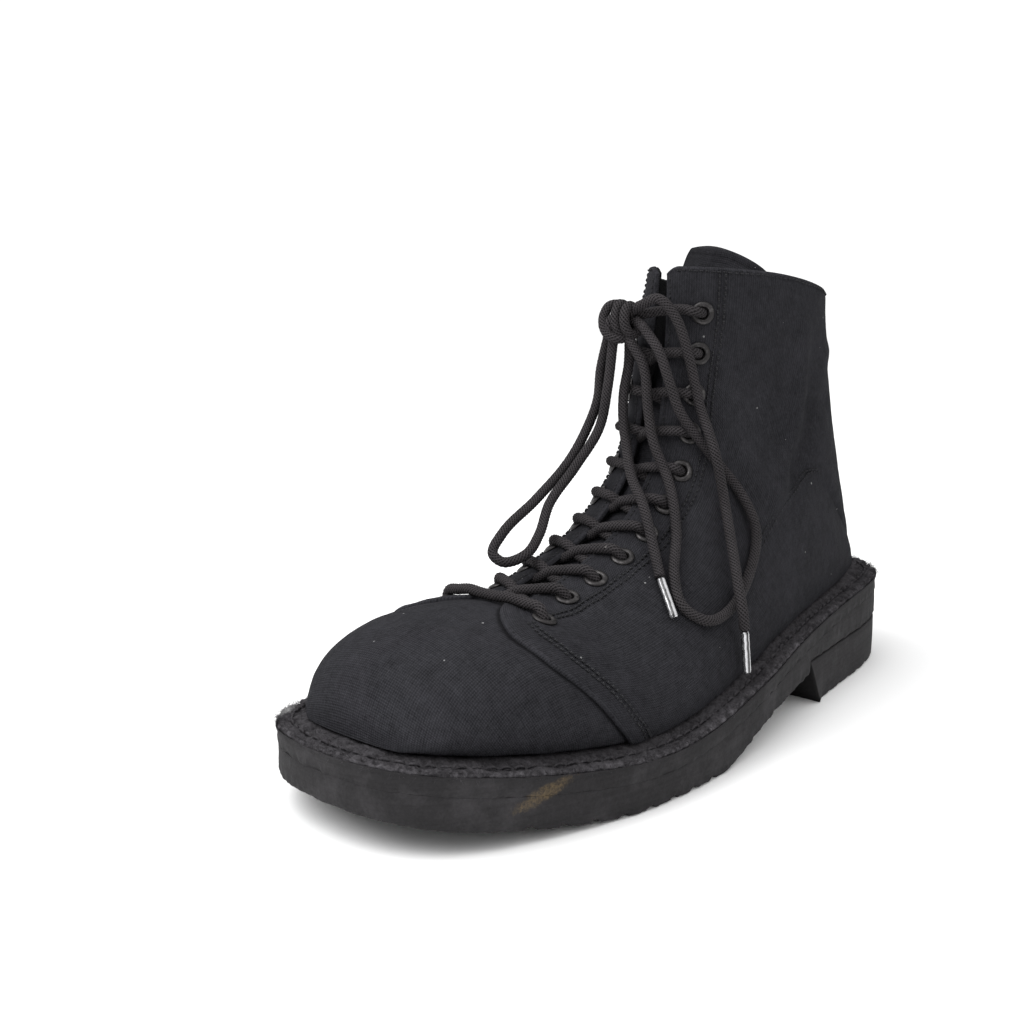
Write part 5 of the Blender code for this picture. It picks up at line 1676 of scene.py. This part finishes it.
class BOOT_OT_welt(bpy.types.Operator):
    """Builds the napped welt strip with its stitch row and its fuzz"""

    bl_idname = "boot.welt"
    bl_label = "Welt"

    profile = (  # inset, lift, share of the lumps
        (13.7, -0.4, 0), (13.7, -2.6, 0), (4.0, -2.9, 0), (0.9, -3.05, 0.0), (0.5, -2.6, 0.1), (0.25, -1.7, 0.3),
        (0.0, -1.0, 0.9), (0.2, -0.4, 1.0), (0.9, 0.0, 1.0), (1.7, 0.15, 1.0), (2.6, 0.15, 0.9), (3.5, 0.0, 0.8),
        (4.4, -0.15, 0.7), (5.3, 0.0, 0.9), (6.2, 0.4, 1.0), (7.1, 0.8, 1.0), (8.0, 1.1, 0.9), (9.2, 1.4, 0.8),
        (11.0, 1.7, 0.4), (13.7, 1.9, 0), (13.7, -0.4, 0),
    )  # fmt: skip
    pitch = 4.6  # of the stitches
    hairs, spots = 9000, 4000

    def strip(self):
        """A lumpy strip round the sole: rings across its width, roughened by ripples of three sizes."""
        x, u, inward = sole_loop(1400)
        inset, lift, lumps = np.array(self.profile).T[..., None]
        ring_x, ring_u = inset_loop((x, u, inward), inset)
        grid = world(ring_x, ring_u, welt_top(ring_u) + lift)
        lump = 0.42 * ripple(grid, 12, SEED + 20) + 0.4 * ripple(grid, 5, SEED + 21)
        lump = lump + 0.26 * ripple(grid, 2.2, SEED + 22)
        edge = bell(inset, 0, 1.3)[..., None]
        way = level_out(inward) * edge + np.array([0, 0, 1.0]) * (1 - 0.5 * edge)
        grid = grid + lumps[..., None] * lump[..., None] * way
        around = ring_run(grid)
        uv = spread(around, inset)
        wear = np.broadcast_to(bell(inset, 0.2, 1.0), lump.shape)
        return patch(grid, uv, wear)

    def stitches(self):
        """Threads along the strip's groove, a pitch apart."""
        x, u, inward = sole_loop(6000)
        ring = np.stack([x, u], axis=-1) + inward * STITCH_INSET
        lengths = run(np.concatenate([ring, np.zeros((len(ring), 1))], axis=1))
        number = np.searchsorted(lengths, np.arange(0, lengths[-1], self.pitch)).clip(1, len(ring) - 2)
        places = world(ring[number, 0], ring[number, 1], welt_top(ring[number, 1]) + 0.2)
        after = world(ring[number + 1, 0], ring[number + 1, 1], welt_top(ring[number + 1, 1]) + 0.2)
        tangents = unit(after - places)
        normals = unit(np.array([0, 0, 1.0]) - tangents * tangents[:, 2:])
        return capsules(places, tangents, normals, 1.9, 0.5)

    def fuzz(self):
        """Short bent hairs on the strip's rim and face: three-sided threads that taper to a point."""
        rng = np.random.default_rng(SEED + 30)
        count = self.hairs
        x, u, inward = sole_loop(self.spots)
        pick = rng.integers(0, self.spots, count)
        inset = np.where(rng.random(count) < 0.55, rng.uniform(-0.2, 1.2, count), rng.uniform(1.0, 9.0, count))
        ring_x, ring_u = inset_loop((x[pick], u[pick], inward[pick]), inset)
        face = np.interp(inset, [0.3, 2, 4.4, 9.2], [-0.2, 0.1, -0.1, 1.3])
        low = np.where(inset < 0.3, rng.uniform(-2.4, -0.2, count), face)
        root = world(ring_x, ring_u, welt_top(ring_u) + low)
        lean = level_out(inward[pick]) * rng.uniform(-0.2, 1.0, (count, 1))
        lean = unit(lean + rng.normal(0, 0.5, (count, 3)) + (0, 0, 0.35))
        curl = unit(rng.normal(size=(count, 3)))
        length = rng.uniform(0.7, 2.4, count)
        length = np.where(rng.random(count) < 0.03, length * 2.4, length)
        t = np.array([-0.15, 0.45, 0.8, 1.0])
        size = np.array([0.045, 0.04, 0.03, 0.0])
        bent = lean[:, None] * t[:, None] + curl[:, None] * (0.35 * t**2)[:, None]
        middle = root[:, None] + length[:, None, None] * bent
        first = unit(np.cross(lean, curl))
        second = np.cross(lean, first)
        angle = np.linspace(0, 2 * np.pi, 4)[:-1]
        grid = middle[:, :, None] + circles(first, second, angle)[:, None] * size[:, None, None]
        grid = np.concatenate([np.repeat(middle[:, :1, None], 3, axis=2), grid], axis=1)
        uv = spread(np.arange(4.0)[None], np.arange(5.0)[:, None])
        mark = np.broadcast_to((inset < 1.2)[:, None, None] * 1.0, grid.shape[:3])
        return patch(grid, uv, np.ascontiguousarray(mark))

    def execute(self, context):
        napped = finish_napped("napped_strip", context.scene.boot_sole.nap)
        make_piece("welt_strip", [self.strip()], napped, replaces=["welt"])
        make_piece("welt_stitches", [self.stitches()], napped)
        make_piece("welt_fuzz", [self.fuzz()], napped)
        return {"FINISHED"}


class BOOT_OT_sole(bpy.types.Operator):
    """Builds the midsole, the outsole with its cross grooves and the heel block"""

    bl_idname = "boot.sole"
    bl_label = "Sole"

    def heel(self):
        """Rings of a D: round the back along the outline and straight across the front, which slants at its foot."""
        turns = np.linspace(0, 1, 150)
        side_u = SOLE_LENGTH / 2 * (1 - np.cos(turns * turn(HEEL_FRONT_TOP)))
        cross = np.linspace(1, -1, 60)[1:-1]
        x = np.concatenate(
            [
                outline(side_u, 0, LATERAL),
                np.where(cross >= 0, outline(HEEL_FRONT_TOP, 0, LATERAL), -outline(HEEL_FRONT_TOP, 0, MEDIAL)) * cross,
                outline(side_u[:0:-1], 0, MEDIAL),
            ]
        )
        u = np.concatenate([side_u, np.full(len(cross), HEEL_FRONT_TOP), side_u[:0:-1]])
        rings = np.array(closed_rings(0.5, 1.2))
        scale = rings[:, :2]
        centre = np.array(HEEL_CENTRE)
        shape = np.stack([x, u], axis=-1)
        reach = np.linalg.norm(shape - centre, axis=-1)
        moved = shape[None] + (centre - shape)[None] * (scale[:, :1] / reach[None])[..., None]
        moved = moved + (centre - moved) * scale[:, 1, None, None]
        ring_x, ring_u = moved[..., 0], moved[..., 1]
        level = rings[:, 2, None]
        slant = np.clip((ring_u - HEEL_SLANT_U) / (HEEL_FRONT_TOP - HEEL_SLANT_U), 0, 1)
        ring_u = ring_u - slant * (HEEL_FRONT_TOP - HEEL_FRONT_LOW) * (1 - level)
        z = level * HEEL_LIFT + (1 - level) * 0.4 * grooved(ring_u, HEEL_GROOVES) + rings[:, 3, None]
        grid = world(ring_x, ring_u, z)
        around = ring_run(grid)
        uv = spread(around, np.arange(len(rings))[:, None] * 2.0)
        # Rubbed rim on the outer rings; on the heel's front face the rim is made negative, which the rubber finish
        # paints as shade
        rim = np.clip(1 - np.abs(rings[:, :1]) / 1.2, 0, 1) * (rings[:, 1:2] < 0.01)
        return patch(grid, uv, rim * np.where(u > HEEL_FRONT_TOP - 0.5, -1.0, 1.0))

    def execute(self, context):
        look = context.scene.boot_sole
        rubber = finish_rubber("worn_rubber", look.rubber, look.scuff)
        loop = sole_loop(1040)

        # Heights by u: each layer lies under the one above, and the tread is its table's curve plus the grooves
        def midsole_top(u):
            return welt_top(u) - WELT_THICK - LAYER_GAP

        def outsole_top(u):
            return midsole_top(u) - MIDSOLE_THICK

        def outsole_low(u):
            low = np.maximum(table_curve(UNDERSIDE, u), 0.0) + grooved(u, FOREFOOT_GROOVES)
            return np.where(u < HEEL_FRONT_TOP + 2 * LAYER_GAP, HEEL_LIFT + LAYER_GAP, low)

        lip = [(0.3, 0, 1, 0), (-0.25, 0, 1, LIP - 0.3), (-0.45, 0, 1, LIP), (-0.62, 0, 1, LIP - 0.2)]
        midsole = sole_layer(loop, CAP_TOP + lip + below_top(0.1), midsole_top, outsole_top, SPINE, 0.1)
        outsole = sole_layer(loop, closed_rings(0.1, 1.2), outsole_top, outsole_low, SPINE, 0.1)
        make_piece("midsole_rubber", [midsole], rubber, replaces=["midsole"])
        make_piece("outsole_rubber", [outsole], rubber, replaces=["outsole"])
        make_piece("heel_rubber", [self.heel()], rubber, replaces=["heel"])
        return {"FINISHED"}


class BOOT_OT_insole(bpy.types.Operator):
    """Builds the insole pad"""

    bl_idname = "boot.insole"
    bl_label = "Insole"

    def execute(self, context):
        # Heights by u: the welt's edge moved by a constant
        def top(u):
            return welt_top(u) + INSOLE_TOP

        def low(u):
            return welt_top(u) + INSOLE_LOW

        outer = sole_loop(500)
        loop = (*inset_loop(outer, INSOLE_INSET), outer[2])
        made = sole_layer(loop, closed_rings(1.6, 0.6), top, low, INSOLE_SPINE)
        cloth = finish_canvas("insole_cloth", (0.02, 0.02, 0.02), threads=160.0)
        pad = make_piece("insole_pad", [made], cloth, replaces=["insole"])
        return {"FINISHED"}


STEPS = (
    BOOT_OT_stage,
    BOOT_OT_bow,
    BOOT_OT_lacing,
    BOOT_OT_eyelets,
    BOOT_OT_vamp,
    BOOT_OT_quarters,
    BOOT_OT_lining,
    BOOT_OT_tongue,
    BOOT_OT_zip,
    BOOT_OT_stitches,
    BOOT_OT_welt,
    BOOT_OT_sole,
    BOOT_OT_insole,
)
LOOKS = {"boot_cloth": BootClothLook, "boot_lace": BootLaceLook, "boot_sole": BootSoleLook, "boot_stage": BootStageLook}


class BOOT_PT_looks(bpy.types.Panel):
    """Settings and steps of the boot's looks"""

    bl_label = "Boot looks"
    bl_idname = "BOOT_PT_looks"
    bl_space_type = "VIEW_3D"
    bl_region_type = "UI"
    bl_category = "Boot"

    def draw(self, context):
        """Lists the settings and the steps."""
        for name, kind in LOOKS.items():
            box = self.layout.box()
            for key in kind.__annotations__:
                box.prop(getattr(context.scene, name), key)
        for step in STEPS:
            self.layout.operator(step.bl_idname)


def register():
    """Adds the classes, and the settings to the scene."""
    for kind in (*LOOKS.values(), *STEPS, BOOT_PT_looks):
        bpy.utils.register_class(kind)
    for name, kind in LOOKS.items():
        setattr(bpy.types.Scene, name, bpy.props.PointerProperty(type=kind))


def unregister():
    """Takes the settings and the classes away again."""
    for name in LOOKS:
        delattr(bpy.types.Scene, name)
    for kind in reversed((*LOOKS.values(), *STEPS, BOOT_PT_looks)):
        bpy.utils.unregister_class(kind)


def main():
    """Registers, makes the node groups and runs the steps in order."""
    register()
    for make_group in (weave_group, lint_group, scuff_group):
        make_group()
    for step in STEPS:
        getattr(bpy.ops.boot, step.bl_idname.split(".")[1])()


if __name__ == "__main__":
    main()
